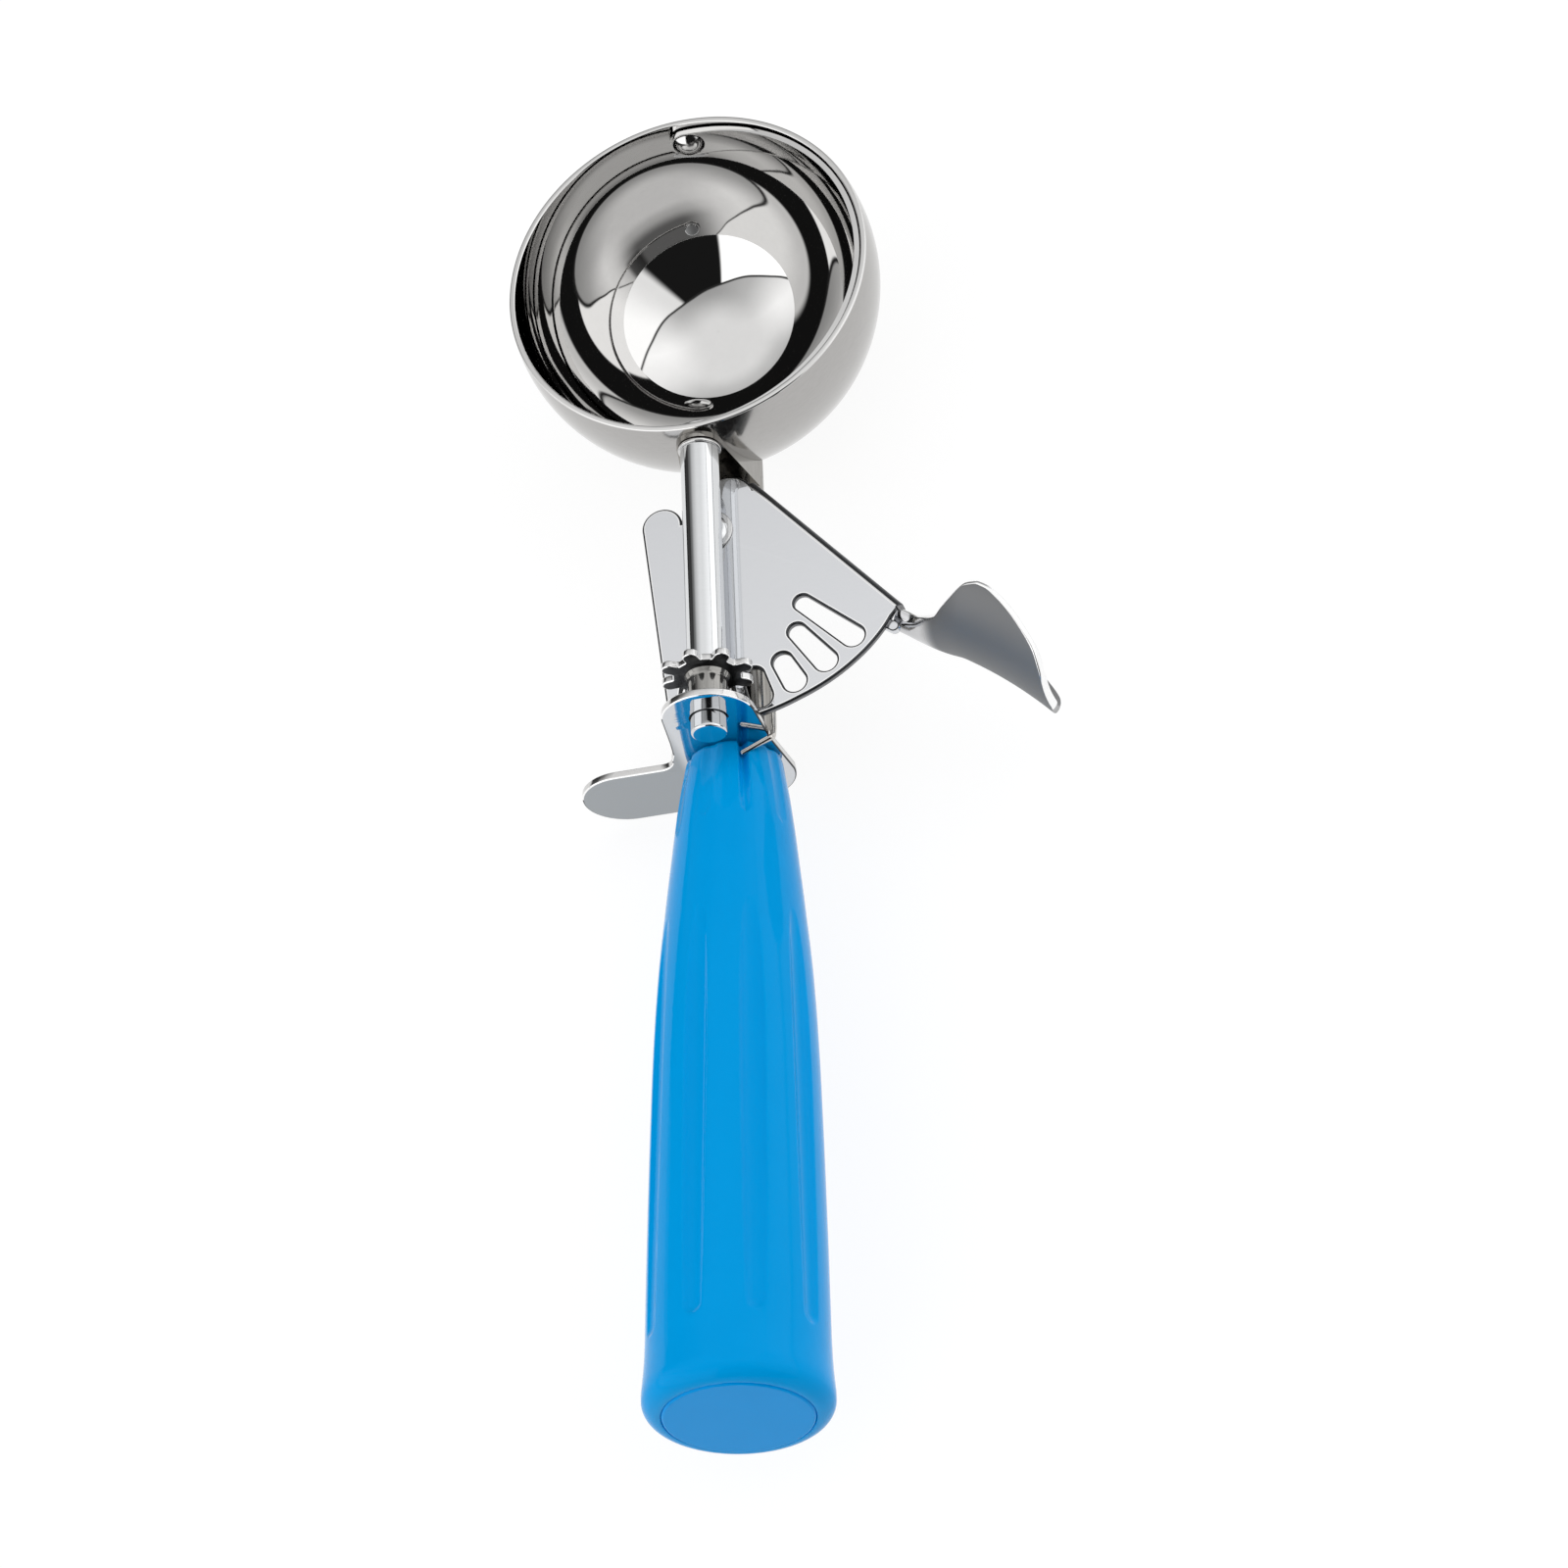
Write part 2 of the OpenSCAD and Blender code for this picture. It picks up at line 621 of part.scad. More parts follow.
// Cutter of one groove: a long round bar with ball ends, laid along the grip's surface.
module groove_bar(r, y_from, y_to, depth_from, depth_to) {
    centre_from = depth_from + r;
    centre_to = depth_to + r;
    run = y_to - y_from;
    lean = atan2(centre_to - centre_from, run);
    translate([0, -y_from, centre_from]) rotate([90 - lean, 0, 0]) {
        cylinder(r = r, h = run / cos(lean), $fn = 48);
        sphere(r = r, $fn = 48);
        translate([0, 0, run / cos(lean)]) sphere(r = r, $fn = 48);
    }
}

// Cutter of one short flute, deep at the plate and running out down the neck.
module neck_flute() {
    mouth_r = 1.8;
    end_r = 0.9;
    length = 14;
    mouth_z = neck_grip_r - 2.15 + mouth_r;
    end_z = neck_grip_r + 1.7 + end_r;
    lean = atan2(end_z - mouth_z, length + 1);
    translate([0, 1, mouth_z]) rotate([90 - lean, 0, 0])
        cylinder(r1 = mouth_r, r2 = end_r, h = (length + 1) / cos(lean), $fn = 48);
}

module handle_grip() {
    groove_low = grip_len - groove_end - 1.9;
    color(blue) place() difference() {
        on_handle() difference() {
            grip_body();
            for (i = [0:grooves - 1]) rotate([0, groove_turn + i * 360 / grooves, 0])
                groove_bar(groove_r, 31, groove_low, butt_r - 2.48, butt_r - groove_depth);
            for (i = [0:grooves - 1]) rotate([0, groove_turn - 1.5 + i * 360 / grooves, 0]) neck_flute();
            translate([-tang_w / 2 - seat_gap, -tang_len - 0.5, -tang_t / 2 - seat_gap])
                cube([tang_w + 2 * seat_gap, tang_len + 3.5, tang_t + 2 * seat_gap]);
            rod(plug_r + fit_gap, -grip_len + plug_t, -grip_len - 1);
        }
        translate([0, -plate_at + 25, 0]) cube([80, 50, 80], center = true);
    }
}

module handle_plug() {
    color(blue) place() on_handle() {
        rod(plug_r, -grip_len + plug_t, -grip_len + 0.4);
        translate([0, -grip_len + 0.4 + eps, 0]) rotate([90, 0, 0])
            cylinder(r1 = plug_r, r2 = plug_r - 0.3, h = 0.4 + plug_proud);
    }
}

bowl();
bowl_rivet();
scraper_blade();
scraper_shaft();
shaft_washer();
pinion();
pinion_hub();
stem();
bracket_plate();
lever_plate();
thumb_rest();
pivot_rivet();
pivot_washer();
pivot_spacer();
return_spring();
handle_grip();
handle_plug();
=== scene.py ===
import math
import bpy
import bmesh
from mathutils import Matrix, Vector
from mathutils.geometry import delaunay_2d_cdt, tessellate_polygon


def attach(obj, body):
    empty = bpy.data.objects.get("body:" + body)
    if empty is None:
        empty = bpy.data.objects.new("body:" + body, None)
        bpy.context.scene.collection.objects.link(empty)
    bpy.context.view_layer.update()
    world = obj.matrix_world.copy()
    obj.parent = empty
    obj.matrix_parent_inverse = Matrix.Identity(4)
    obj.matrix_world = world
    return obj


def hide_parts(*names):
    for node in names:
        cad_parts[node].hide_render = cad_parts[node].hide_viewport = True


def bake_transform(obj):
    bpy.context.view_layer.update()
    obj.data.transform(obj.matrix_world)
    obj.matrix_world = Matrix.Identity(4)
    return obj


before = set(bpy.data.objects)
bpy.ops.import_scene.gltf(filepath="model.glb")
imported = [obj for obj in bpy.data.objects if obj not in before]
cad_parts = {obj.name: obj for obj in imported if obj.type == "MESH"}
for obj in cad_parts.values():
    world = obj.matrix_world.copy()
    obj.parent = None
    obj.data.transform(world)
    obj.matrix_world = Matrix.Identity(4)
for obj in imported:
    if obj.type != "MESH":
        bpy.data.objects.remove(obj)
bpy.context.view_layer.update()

# Every piece below is drawn in millimetres in the scoop's working frame: the bowl's centre is the
# origin, +Y runs along the blade shaft to the bowl's far side, +Z is the bowl's opening and +X is
# the thumb lever's side. row_point() turns such a point into metres in the row's frame.
ROW_ORIGIN = Vector((11.0402, -77.9474, -28.9))


def row_point(p):
    return (Vector(p) - ROW_ORIGIN) * 0.001


# ---------- sizes shared by several pieces (mm) ----------

BOWL_R, BOWL_IN, RIM_Z = 28.9, 28.0, 4.4
BLADE_OUT, BLADE_IN = 27.7, 26.9
PIVOT_Y = -41.4
PLATE_Y = -76.4
LEVER_TOP, LEVER_T = -5.3, 1.0
HANDLE_Z, HANDLE_TILT = -14.2, math.radians(5.9)
GRIP_LEN = 108.2
THUMB_ANGLE, THUMB_ROOT = 36.6, 33.2
LEAF_FROM = THUMB_ROOT + 4.5
WINDOW_PITCH, LOBES, MESH_PHASE = 10.4, 8, 0.19


def on_handle(x, y, z):
    """Handle frame: origin on its axis at the bracket plate, -y down the handle."""
    c, s = math.cos(HANDLE_TILT), math.sin(HANDLE_TILT)
    return (x, PLATE_Y + y * c + z * s, HANDLE_Z - y * s + z * c)


def lever_point(u, v, h):
    """Lever frame: origin on the pivot's axis."""
    return (u, PIVOT_Y + v, h)


def turned(x, y, degrees):
    a = math.radians(degrees)
    return (x * math.cos(a) - y * math.sin(a), x * math.sin(a) + y * math.cos(a))


def ramp(x, a, b):
    """Smooth step from 0 at a to 1 at b."""
    t = min(1, max(0, (x - a) / (b - a)))
    return t * t * (3 - 2 * t)


# ---------- mesh helpers ----------

def placed(name, data):
    item = bpy.data.objects.new(name, data)
    bpy.context.scene.collection.objects.link(item)
    return item


def merge_and_orient(mesh):
    """Merges doubled points and turns every face outwards."""
    work = bmesh.new()
    work.from_mesh(mesh)
    bmesh.ops.remove_doubles(work, verts=work.verts, dist=1e-7)
    bmesh.ops.recalc_face_normals(work, faces=work.faces)
    work.to_mesh(mesh)
    work.free()


def smooth_piece(name, points, faces, finish, body, nodes, slot, sharp=34, weighted=True,
                 cutters=(), bevel=0.0, tones=None):
    """A finished piece that stands for CAD nodes: smooth faces, sharp where faces meet steeply.
    finish is one material, or a list of them that tones picks from face by face. A piece with no
    body is left for the caller to hang on one."""
    mesh = bpy.data.meshes.new(name)
    mesh.from_pydata([row_point(p) for p in points], [], faces)
    for material in finish if isinstance(finish, list) else [finish]:
        mesh.materials.append(material)
    if tones:
        mesh.polygons.foreach_set("material_index", tones)
    mesh.validate()
    piece = placed(name, mesh)
    merge_and_orient(mesh)
    for cutter in cutters:
        cut = piece.modifiers.new("hole", "BOOLEAN")
        cut.operation, cut.solver, cut.object = "DIFFERENCE", "EXACT", cutter
    if bevel:
        edge = piece.modifiers.new("edge", "BEVEL")
        edge.width, edge.segments, edge.limit_method = bevel * 0.001, 3, "ANGLE"
        edge.angle_limit = math.radians(40)
    if cutters or bevel:
        apply_modifiers(piece)
    for cutter in cutters:
        bpy.data.objects.remove(cutter)
    piece.data.shade_smooth()
    piece.data.set_sharp_from_angle(angle=math.radians(sharp))
    if weighted:
        normal = piece.modifiers.new("normals", "WEIGHTED_NORMAL")
        normal.keep_sharp = True
        apply_modifiers(piece)
    if body:
        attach(piece, body)
    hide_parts(*nodes)
    return piece


def apply_modifiers(piece):
    bpy.context.view_layer.update()
    view = piece.evaluated_get(bpy.context.evaluated_depsgraph_get())
    mesh = bpy.data.meshes.new_from_object(view)
    piece.modifiers.clear()
    old = piece.data
    piece.data = mesh
    mesh.name = old.name
    bpy.data.meshes.remove(old)


def plain_rod(radius, y_from, y_to, sides=96):
    """Cutter along Y."""
    points, faces = turned_profile([(0, y_from), (radius, y_from), (radius, y_to), (0, y_to)], sides)
    mesh = bpy.data.meshes.new("cutter")
    mesh.from_pydata([row_point(p) for p in points], [], faces)
    merge_and_orient(mesh)
    return placed("cutter", mesh)


def grid_faces(rows, cols, closed_rows=True, closed_cols=False, first=0):
    """Quads of a grid. closed_rows joins each row's ends, closed_cols each column's."""
    faces = []
    for i in range(rows if closed_cols else rows - 1):
        for j in range(cols if closed_rows else cols - 1):
            a, b = first + i * cols + j, first + i * cols + (j + 1) % cols
            c, d = first + ((i + 1) % rows) * cols + (j + 1) % cols, first + ((i + 1) % rows) * cols + j
            faces.append((a, b, c, d))
    return faces


def turned_profile(profile, sides=128, along=None):
    """Turned piece: profile of (radius, height) pairs. along maps (x, y, z), y being the axis."""
    along = along or (lambda x, y, z: (x, y, z))
    points = []
    for radius, height in profile:
        for j in range(sides):
            a = 2 * math.pi * j / sides
            points.append(along(radius * math.sin(a), height, radius * math.cos(a)))
    return points, grid_faces(len(profile), sides, True, False)


def rounded(profile, steps=4):
    """Profile of (radius, height, rounding) with each corner rounded; the two ends need no rounding."""
    out = []
    for i, p in enumerate(profile):
        here = Vector(p[:2])
        r = p[2] if len(p) > 2 else 0
        if r == 0:
            out.append(tuple(here))
            continue
        before, after = Vector(profile[i - 1][:2]), Vector(profile[i + 1][:2])
        u, v = (before - here), (after - here)
        reach = min(r, u.length * 0.45, v.length * 0.45)
        a, b = here + u.normalized() * reach, here + v.normalized() * reach
        for k in range(steps + 1):
            t = k / steps
            out.append(tuple(a * (1 - t) ** 2 + here * 2 * t * (1 - t) + b * t * t))
    return out


def turned_piece(name, profile, sides, along, finish, body, node_name, slot):
    """Turned piece from a profile of (radius, height, rounding)."""
    points, faces = turned_profile(rounded(profile), sides, along)
    return smooth_piece(name, points, faces, finish, body, [node_name], slot)


def arc(cx, cy, r, start, end, steps):
    return [(cx + r * math.cos(math.radians(start + (end - start) * k / steps)),
             cy + r * math.sin(math.radians(start + (end - start) * k / steps))) for k in range(steps + 1)]


def ring(cx, cy, r, steps=64):
    return arc(cx, cy, r, 0, 360, steps)[:-1]


def in_polygon(p, polygon):
    inside = False
    x, y = p
    x1, y1 = polygon[-1]
    for x2, y2 in polygon:
        if (y1 > y) != (y2 > y) and x < (x2 - x1) * (y - y1) / (y2 - y1) + x1:
            inside = not inside
        x1, y1 = x2, y2
    return inside


def traced(lines, inside):
    """Loops that bound the region where inside(p) holds, with the metal on their left."""
    points, edges = [], []
    for line in lines:
        k, n = len(points), len(line)
        points += [Vector(p) for p in line]
        edges += [(k + i, k + (i + 1) % n) for i in range(n)]
    found = delaunay_2d_cdt(points, edges, [], 0, 1e-4)
    spots, triangles = found[0], found[2]
    kept = []
    for t in triangles:
        a, b, c = (spots[i] for i in t)
        if (b - a).cross(c - a) < 0:
            t = (t[0], t[2], t[1])
        if inside((a + b + c) / 3):
            kept.append(t)
    half = {(t[i], t[(i + 1) % 3]) for t in kept for i in range(3)}
    follow = {}
    for a, b in half:
        if (b, a) not in half:
            follow[a] = b
    loops = []
    while follow:
        start, at = next(iter(follow.items()))
        loop = [start]
        del follow[start]
        while at != start:
            loop.append(at)
            at = follow.pop(at)
        if len(loop) > 5:
            loops.append(thinned([tuple(spots[i]) for i in loop]))
    return loops


def thinned(loop, least=0.06):
    """Drops points that lie closer together than the edge's rounding can bear."""
    out = [loop[0]]
    for p in loop[1:]:
        if math.dist(p, out[-1]) > least:
            out.append(p)
    if math.dist(out[0], out[-1]) <= least:
        out.pop()
    return out


def inset(loop, depth, keep=None):
    """The loop moved into the metal by depth, except where keep(p) holds."""
    n, out = len(loop), []
    for i, p in enumerate(loop):
        here = Vector(p)
        if keep and keep(p):
            out.append(tuple(p))
            continue
        u = (here - Vector(loop[i - 1])).normalized()
        v = (Vector(loop[(i + 1) % n]) - here).normalized()
        n1, n2 = Vector((-u.y, u.x)), Vector((-v.y, v.x))
        out.append(tuple(here + (n1 + n2) * depth / max(0.5, 1 + n1.dot(n2))))
    return out


# tones of a stamped piece's faces: the sheet, the corner inside the edge painted as a highlight, the rounding
# painted as shade, and the wall
SHEET, CORNER_HIGHLIGHT, ROUND_SHADE, WALL = 0, 1, 2, 3


def stamped(loops, low, high, edge, place, keep=None, steps=3, low_edge=None, rim=0.0, tone=None,
            low_face=SHEET, high_face=SHEET):
    """Sheet metal between two heights with rounded edges; place(u, v, h) puts each point.
    Each face gets a tone: the sheet, the corner inside its edge (a painted highlight), the rounding (painted
    shade) or the wall.
    tone(part, u, v) may change an edge's tone by the way that it faces, which paints lit and shaded edges."""
    low_edge = edge if low_edge is None else low_edge
    tone = tone or (lambda part, u, v: part)
    levels = [(low_edge * (1 - math.cos(a)), low + low_edge * (1 - math.sin(a)))
              for a in (math.pi / 2 * (1 - k / steps) for k in range(steps + 1))]
    levels += [(edge * (1 - math.cos(a)), high - edge * (1 - math.sin(a)))
               for a in (math.pi / 2 * k / steps for k in range(steps + 1))]
    parts = [ROUND_SHADE] * steps + [WALL] + [ROUND_SHADE] * steps
    if rim:
        levels.append((edge + rim, high))
        parts.append(CORNER_HIGHLIGHT)
    points, faces, tones, caps = [], [], [], [[], []]
    for loop in loops:
        n, first = len(loop), len(points)
        ways = [(Vector(loop[(i + 1) % n]) - Vector(loop[i])).normalized() for i in range(n)]
        for k, (depth, height) in enumerate(levels):
            moved = inset(loop, depth, keep)
            if k in (0, len(levels) - 1):
                caps[0 if k == 0 else 1].append((moved, len(points)))
            points += [place(u, v, height) for u, v in moved]
        faces += grid_faces(len(levels), n, True, False, first)
        tones += [tone(part, way.y, -way.x) for part in parts for way in ways]
    for cap, face_tone in zip(caps, (low_face, high_face)):
        index = [start + i for moved, start in cap for i in range(len(moved))]
        for t in tessellate_polygon([[Vector((u, v, 0)) for u, v in moved] for moved, _ in cap]):
            faces.append(tuple(index[i] for i in t))
            tones.append(face_tone)
    return points, faces, tones


def joined(*meshes):
    points, faces, tones = [], [], []
    for p, f, t in meshes:
        k = len(points)
        points += p
        faces += [tuple(i + k for i in face) for face in f]
        tones += t
    return points, faces, tones


def smooth_curve(route, per_span):
    """Catmull-Rom curve through the route's points, with per_span points to each span."""
    pts = [Vector(p) for p in route]
    out = []
    for i in range(len(pts) - 1):
        p0, p1, p2, p3 = pts[max(0, i - 1)], pts[i], pts[i + 1], pts[min(len(pts) - 1, i + 2)]
        for k in range(per_span):
            t = k / per_span
            out.append(0.5 * (2 * p1 + (p2 - p0) * t + (2 * p0 - 5 * p1 + 4 * p2 - p3) * t * t
                              + (3 * p1 - p0 - 3 * p2 + p3) * t ** 3))
    out.append(pts[-1])
    return out


def wire(route, radius, sides=16):
    """Round wire along a route, with softly rounded ends."""
    n = len(route)
    tangents = [(route[min(n - 1, i + 1)] - route[max(0, i - 1)]).normalized() for i in range(n)]
    side = tangents[0].orthogonal().normalized()
    stations = []
    for i in range(n):
        t = tangents[i]
        side = (side - t * side.dot(t)).normalized()
        stations.append((route[i], side.copy(), t.cross(side)))
    rings = []
    first, last = stations[0], stations[-1]
    for back, share in ((0.0, 0.0), (0.0, 0.72), (0.3, 0.93), (0.8, 1.0)):
        rings.append((first[0] + tangents[0] * radius * back * 0.4, first[1], first[2], radius * share))
    rings += [(p, u, v, radius) for p, u, v in stations[1:-1]]
    for back, share in ((0.8, 1.0), (0.3, 0.93), (0.0, 0.72), (0.0, 0.0)):
        rings.append((last[0] - tangents[-1] * radius * back * 0.4, last[1], last[2], radius * share))
    points = [tuple(p + u * r * math.cos(2 * math.pi * j / sides) + v * r * math.sin(2 * math.pi * j / sides))
              for p, u, v, r in rings for j in range(sides)]
    return points, grid_faces(len(rings), sides)


def interpolated(table, x):
    """Smooth curve through a table of (x, value) pairs that doesn't overshoot."""
    if x <= table[0][0]:
        return table[0][1]
    if x >= table[-1][0]:
        return table[-1][1]
    i = max(k for k in range(len(table) - 1) if table[k][0] <= x)

    def rise(k):
        return (table[k + 1][1] - table[k][1]) / (table[k + 1][0] - table[k][0])

    def slope(k):
        if k == 0 or k == len(table) - 1:
            return rise(min(k, len(table) - 2))
        a, b = rise(k - 1), rise(k)
        return 0 if a * b <= 0 else 2 * a * b / (a + b)

    (x0, y0), (x1, y1) = table[i], table[i + 1]
    h = x1 - x0
    t = (x - x0) / h
    return ((2 * t ** 3 - 3 * t * t + 1) * y0 + (t ** 3 - 2 * t * t + t) * h * slope(i)
            + (3 * t * t - 2 * t ** 3) * y1 + (t ** 3 - t * t) * h * slope(i + 1))


# ---------- finishes ----------

def new_group(name, inputs, outputs):
    group = bpy.data.node_groups.new(name, "ShaderNodeTree")
    for label, kind, value in inputs:
        socket = group.interface.new_socket(name=label, in_out="INPUT", socket_type=kind)
        socket.default_value = value
    for label, kind in outputs:
        group.interface.new_socket(name=label, in_out="OUTPUT", socket_type=kind)
    return group, group.nodes.new("NodeGroupInput"), group.nodes.new("NodeGroupOutput")


def node(tree, kind, links=(), **settings):
    made = tree.nodes.new(kind)
    for key, value in settings.items():
        setattr(made, key, value)
    for socket, source in links:
        if hasattr(source, "is_linked"):
            tree.links.new(source, made.inputs[socket])
        else:
            made.inputs[socket].default_value = source
    return made


def maths(tree, operation, a, b=None, clamp=False):
    made = node(tree, "ShaderNodeMath", [(0, a)] + ([(1, b)] if b is not None else []), operation=operation,
                use_clamp=clamp)
    return made.outputs[0]


def mixed(tree, factor, a, b, kind="RGBA"):
    """Mix of a and b, each a socket or a value."""
    made = node(tree, "ShaderNodeMix", [("Factor", factor), ("A", a), ("B", b)], data_type=kind)
    return made.outputs["Result"]


def grain_group():
    """Drawn lines of sheet and bar: noise stretched along one direction of the piece."""
    group, given, out = new_group(
        "Drawn_grain",
        [("Stretch", "NodeSocketVector", (400, 4000, 400)), ("Contrast", "NodeSocketFloat", 1.0)],
        [("Grain", "NodeSocketFloat"), ("Scratch", "NodeSocketFloat")])
    place = group.nodes.new("ShaderNodeTexCoord").outputs["Object"]
    scaled = node(group, "ShaderNodeVectorMath", [(0, place), (1, given.outputs["Stretch"])],
                  operation="MULTIPLY").outputs[0]
    noise = node(group, "ShaderNodeTexNoise", [("Vector", scaled), ("Scale", 1.0), ("Detail", 3.0),
                                               ("Roughness", 0.6)])
    grain = maths(group, "ADD", maths(group, "MULTIPLY", maths(group, "SUBTRACT", noise.outputs["Fac"], 0.5),
                                      given.outputs["Contrast"]), 0.5, clamp=True)
    fine = node(group, "ShaderNodeTexNoise", [("Vector", scaled), ("Scale", 2.7), ("Detail", 1.0)])
    scratch = node(group, "ShaderNodeMapRange", [("Value", fine.outputs["Fac"]), ("From Min", 0.62),
                                                 ("From Max", 0.74)])
    group.links.new(grain, out.inputs["Grain"])
    group.links.new(scratch.outputs[0], out.inputs["Scratch"])
    return group


def haze_group():
    """Slow change of gloss over a surface: handling and wash marks."""
    group, given, out = new_group(
        "Handled_haze",
        [("Size", "NodeSocketFloat", 90.0), ("Contrast", "NodeSocketFloat", 1.0)],
        [("Haze", "NodeSocketFloat")])
    place = group.nodes.new("ShaderNodeTexCoord").outputs["Object"]
    slow = node(group, "ShaderNodeTexNoise", [("Vector", place), ("Scale", given.outputs["Size"]),
                                              ("Detail", 4.0), ("Roughness", 0.55)])
    haze = maths(group, "MULTIPLY", maths(group, "SUBTRACT", slow.outputs["Fac"], 0.35),
                 given.outputs["Contrast"], clamp=True)
    group.links.new(haze, out.inputs["Haze"])
    return group


def edge_group():
    """Brighter or duller band where a surface turns sharply."""
    group, given, out = new_group("Turned_edge", [("Reach", "NodeSocketFloat", 3.0)],
                                  [("Edge", "NodeSocketFloat")])
    geometry = group.nodes.new("ShaderNodeNewGeometry")
    rise = maths(group, "SUBTRACT", geometry.outputs["Pointiness"], 0.5)
    edge = maths(group, "MULTIPLY", rise, given.outputs["Reach"], clamp=True)
    group.links.new(edge, out.inputs["Edge"])
    return group


GRAIN, HAZE, EDGE = grain_group(), haze_group(), edge_group()


def use_group(tree, group, **values):
    placed = tree.nodes.new("ShaderNodeGroup")
    placed.node_tree = group
    for key, value in values.items():
        placed.inputs[key].default_value = value
    return placed


def new_material(name):
    material = bpy.data.materials.new(name)
    material.use_nodes = True
    tree = material.node_tree
    return material, tree, tree.nodes["Principled BSDF"]


def bare_material(name):
    material = bpy.data.materials.new(name)
    material.use_nodes = True
    material.node_tree.nodes.clear()
    return material, material.node_tree


def steel(name, bright, dull, gloss, grain, grain_gloss, haze_gloss, scratch_gloss=0.05):
    """Stainless steel: two tones mixed by the grain, gloss from grain, haze and scratches."""
    material, tree, shader = new_material(name)
    lines = use_group(tree, GRAIN, Stretch=grain, Contrast=1.2)
    haze = use_group(tree, HAZE, Size=90.0, Contrast=1.6)
    edge = use_group(tree, EDGE, Reach=2.5)
    tone = mixed(tree, lines.outputs["Grain"], (*dull, 1), (*bright, 1))
    # colour a little brighter where the surface turns sharply
    edge_brighter = tuple(min(1, c * 1.08) for c in bright) + (1,)
    tone = mixed(tree, maths(tree, "MULTIPLY", edge.outputs["Edge"], 0.5), tone, edge_brighter)
    tree.links.new(tone, shader.inputs["Base Color"])
    rough = maths(tree, "ADD", maths(tree, "MULTIPLY", lines.outputs["Grain"], grain_gloss), gloss)
    rough = maths(tree, "ADD", maths(tree, "MULTIPLY", haze.outputs["Haze"], haze_gloss), rough)
    rough = maths(tree, "ADD", maths(tree, "MULTIPLY", lines.outputs["Scratch"], scratch_gloss), rough)
    tree.links.new(rough, shader.inputs["Roughness"])
    shader.inputs["Metallic"].default_value = 1.0
    return material


def plastic(name, colour, deep, gloss):
    """Moulded plastic: a faint mottle, fine skin and rubbed high spots."""
    material, tree, shader = new_material(name)
    haze = use_group(tree, HAZE, Size=140.0, Contrast=1.4)
    edge = use_group(tree, EDGE, Reach=2.0)
    tree.links.new(mixed(tree, haze.outputs["Haze"], (*colour, 1), (*deep, 1)), shader.inputs["Base Color"])
    rough = maths(tree, "ADD", maths(tree, "MULTIPLY", haze.outputs["Haze"], 0.05), gloss)
    rough = maths(tree, "ADD", maths(tree, "MULTIPLY", edge.outputs["Edge"], 0.06), rough)
    tree.links.new(rough, shader.inputs["Roughness"])
    place = tree.nodes.new("ShaderNodeTexCoord").outputs["Object"]
    skin = node(tree, "ShaderNodeTexNoise", [("Vector", place), ("Scale", 2600.0), ("Detail", 2.0)])
    bump = node(tree, "ShaderNodeBump", [("Height", skin.outputs["Fac"]), ("Strength", 0.06),
                                         ("Distance", 0.0001)])
    tree.links.new(bump.outputs[0], shader.inputs["Normal"])
    shader.inputs["IOR"].default_value = 1.47
    shader.inputs["Specular IOR Level"].default_value = 0.10
    shader.inputs["Specular Tint"].default_value = (0.30, 0.75, 1.0, 1)
    return material


BOWL_STEEL = steel("bowl_polished_steel", (0.68, 0.675, 0.668), (0.65, 0.645, 0.638), 0.012,
                   grain=(500, 500, 500), grain_gloss=0.006, haze_gloss=0.016, scratch_gloss=0.01)
# the bowl's outside: a satin finish, its darker colour a painted reflection that stands for the grey floor it
# mirrors
BOWL_SKIN = steel("bowl_outside_steel", (0.445, 0.437, 0.427), (0.40, 0.392, 0.383), 0.10,
                  grain=(700, 700, 3000), grain_gloss=0.04, haze_gloss=0.08)
BLADE_STEEL = steel("blade_polished_steel", (0.70, 0.695, 0.69), (0.65, 0.645, 0.64), 0.03,
                    grain=(350, 350, 3500), grain_gloss=0.02, haze_gloss=0.03)
SHAFT_STEEL = steel("shaft_ground_steel", (0.70, 0.71, 0.72), (0.64, 0.65, 0.66), 0.03,
                    grain=(500, 6000, 500), grain_gloss=0.03, haze_gloss=0.04)
WASHER_STEEL = steel("washer_turned_steel", (0.66, 0.655, 0.65), (0.56, 0.555, 0.55), 0.08,
                     grain=(2400, 2400, 2400), grain_gloss=0.05, haze_gloss=0.04)
# the stem's dark colour is painted: it stands for the dark reflections that the stem shows
STEM_STEEL = steel("stem_drawn_steel", (0.36, 0.35, 0.33), (0.24, 0.23, 0.215), 0.06,
                   grain=(3000, 300, 3000), grain_gloss=0.08, haze_gloss=0.07)
PLATE_STEEL = steel("lever_plate_steel", (0.67, 0.68, 0.70), (0.65, 0.66, 0.68), 0.045,
                    grain=(500, 2600, 500), grain_gloss=0.012, haze_gloss=0.03, scratch_gloss=0.012)
# near-white steel for rims and rounded edges: a painted highlight that stands for the white lines along lit
# edges
EDGE_HIGHLIGHT_PAINT = steel("painted_highlight_corner_steel", (0.97, 0.97, 0.97), (0.90, 0.90, 0.90), 0.12,
                  grain=(2500, 2500, 2500), grain_gloss=0.04, haze_gloss=0.04)
# near-black steel for roundings and faces turned away from the light: painted shade that stands for the dark
# reflections and shadow there
EDGE_SHADE_PAINT = steel("painted_shade_edge_steel", (0.075, 0.078, 0.082), (0.035, 0.037, 0.04), 0.22,
                grain=(700, 700, 5000), grain_gloss=0.12, haze_gloss=0.08)
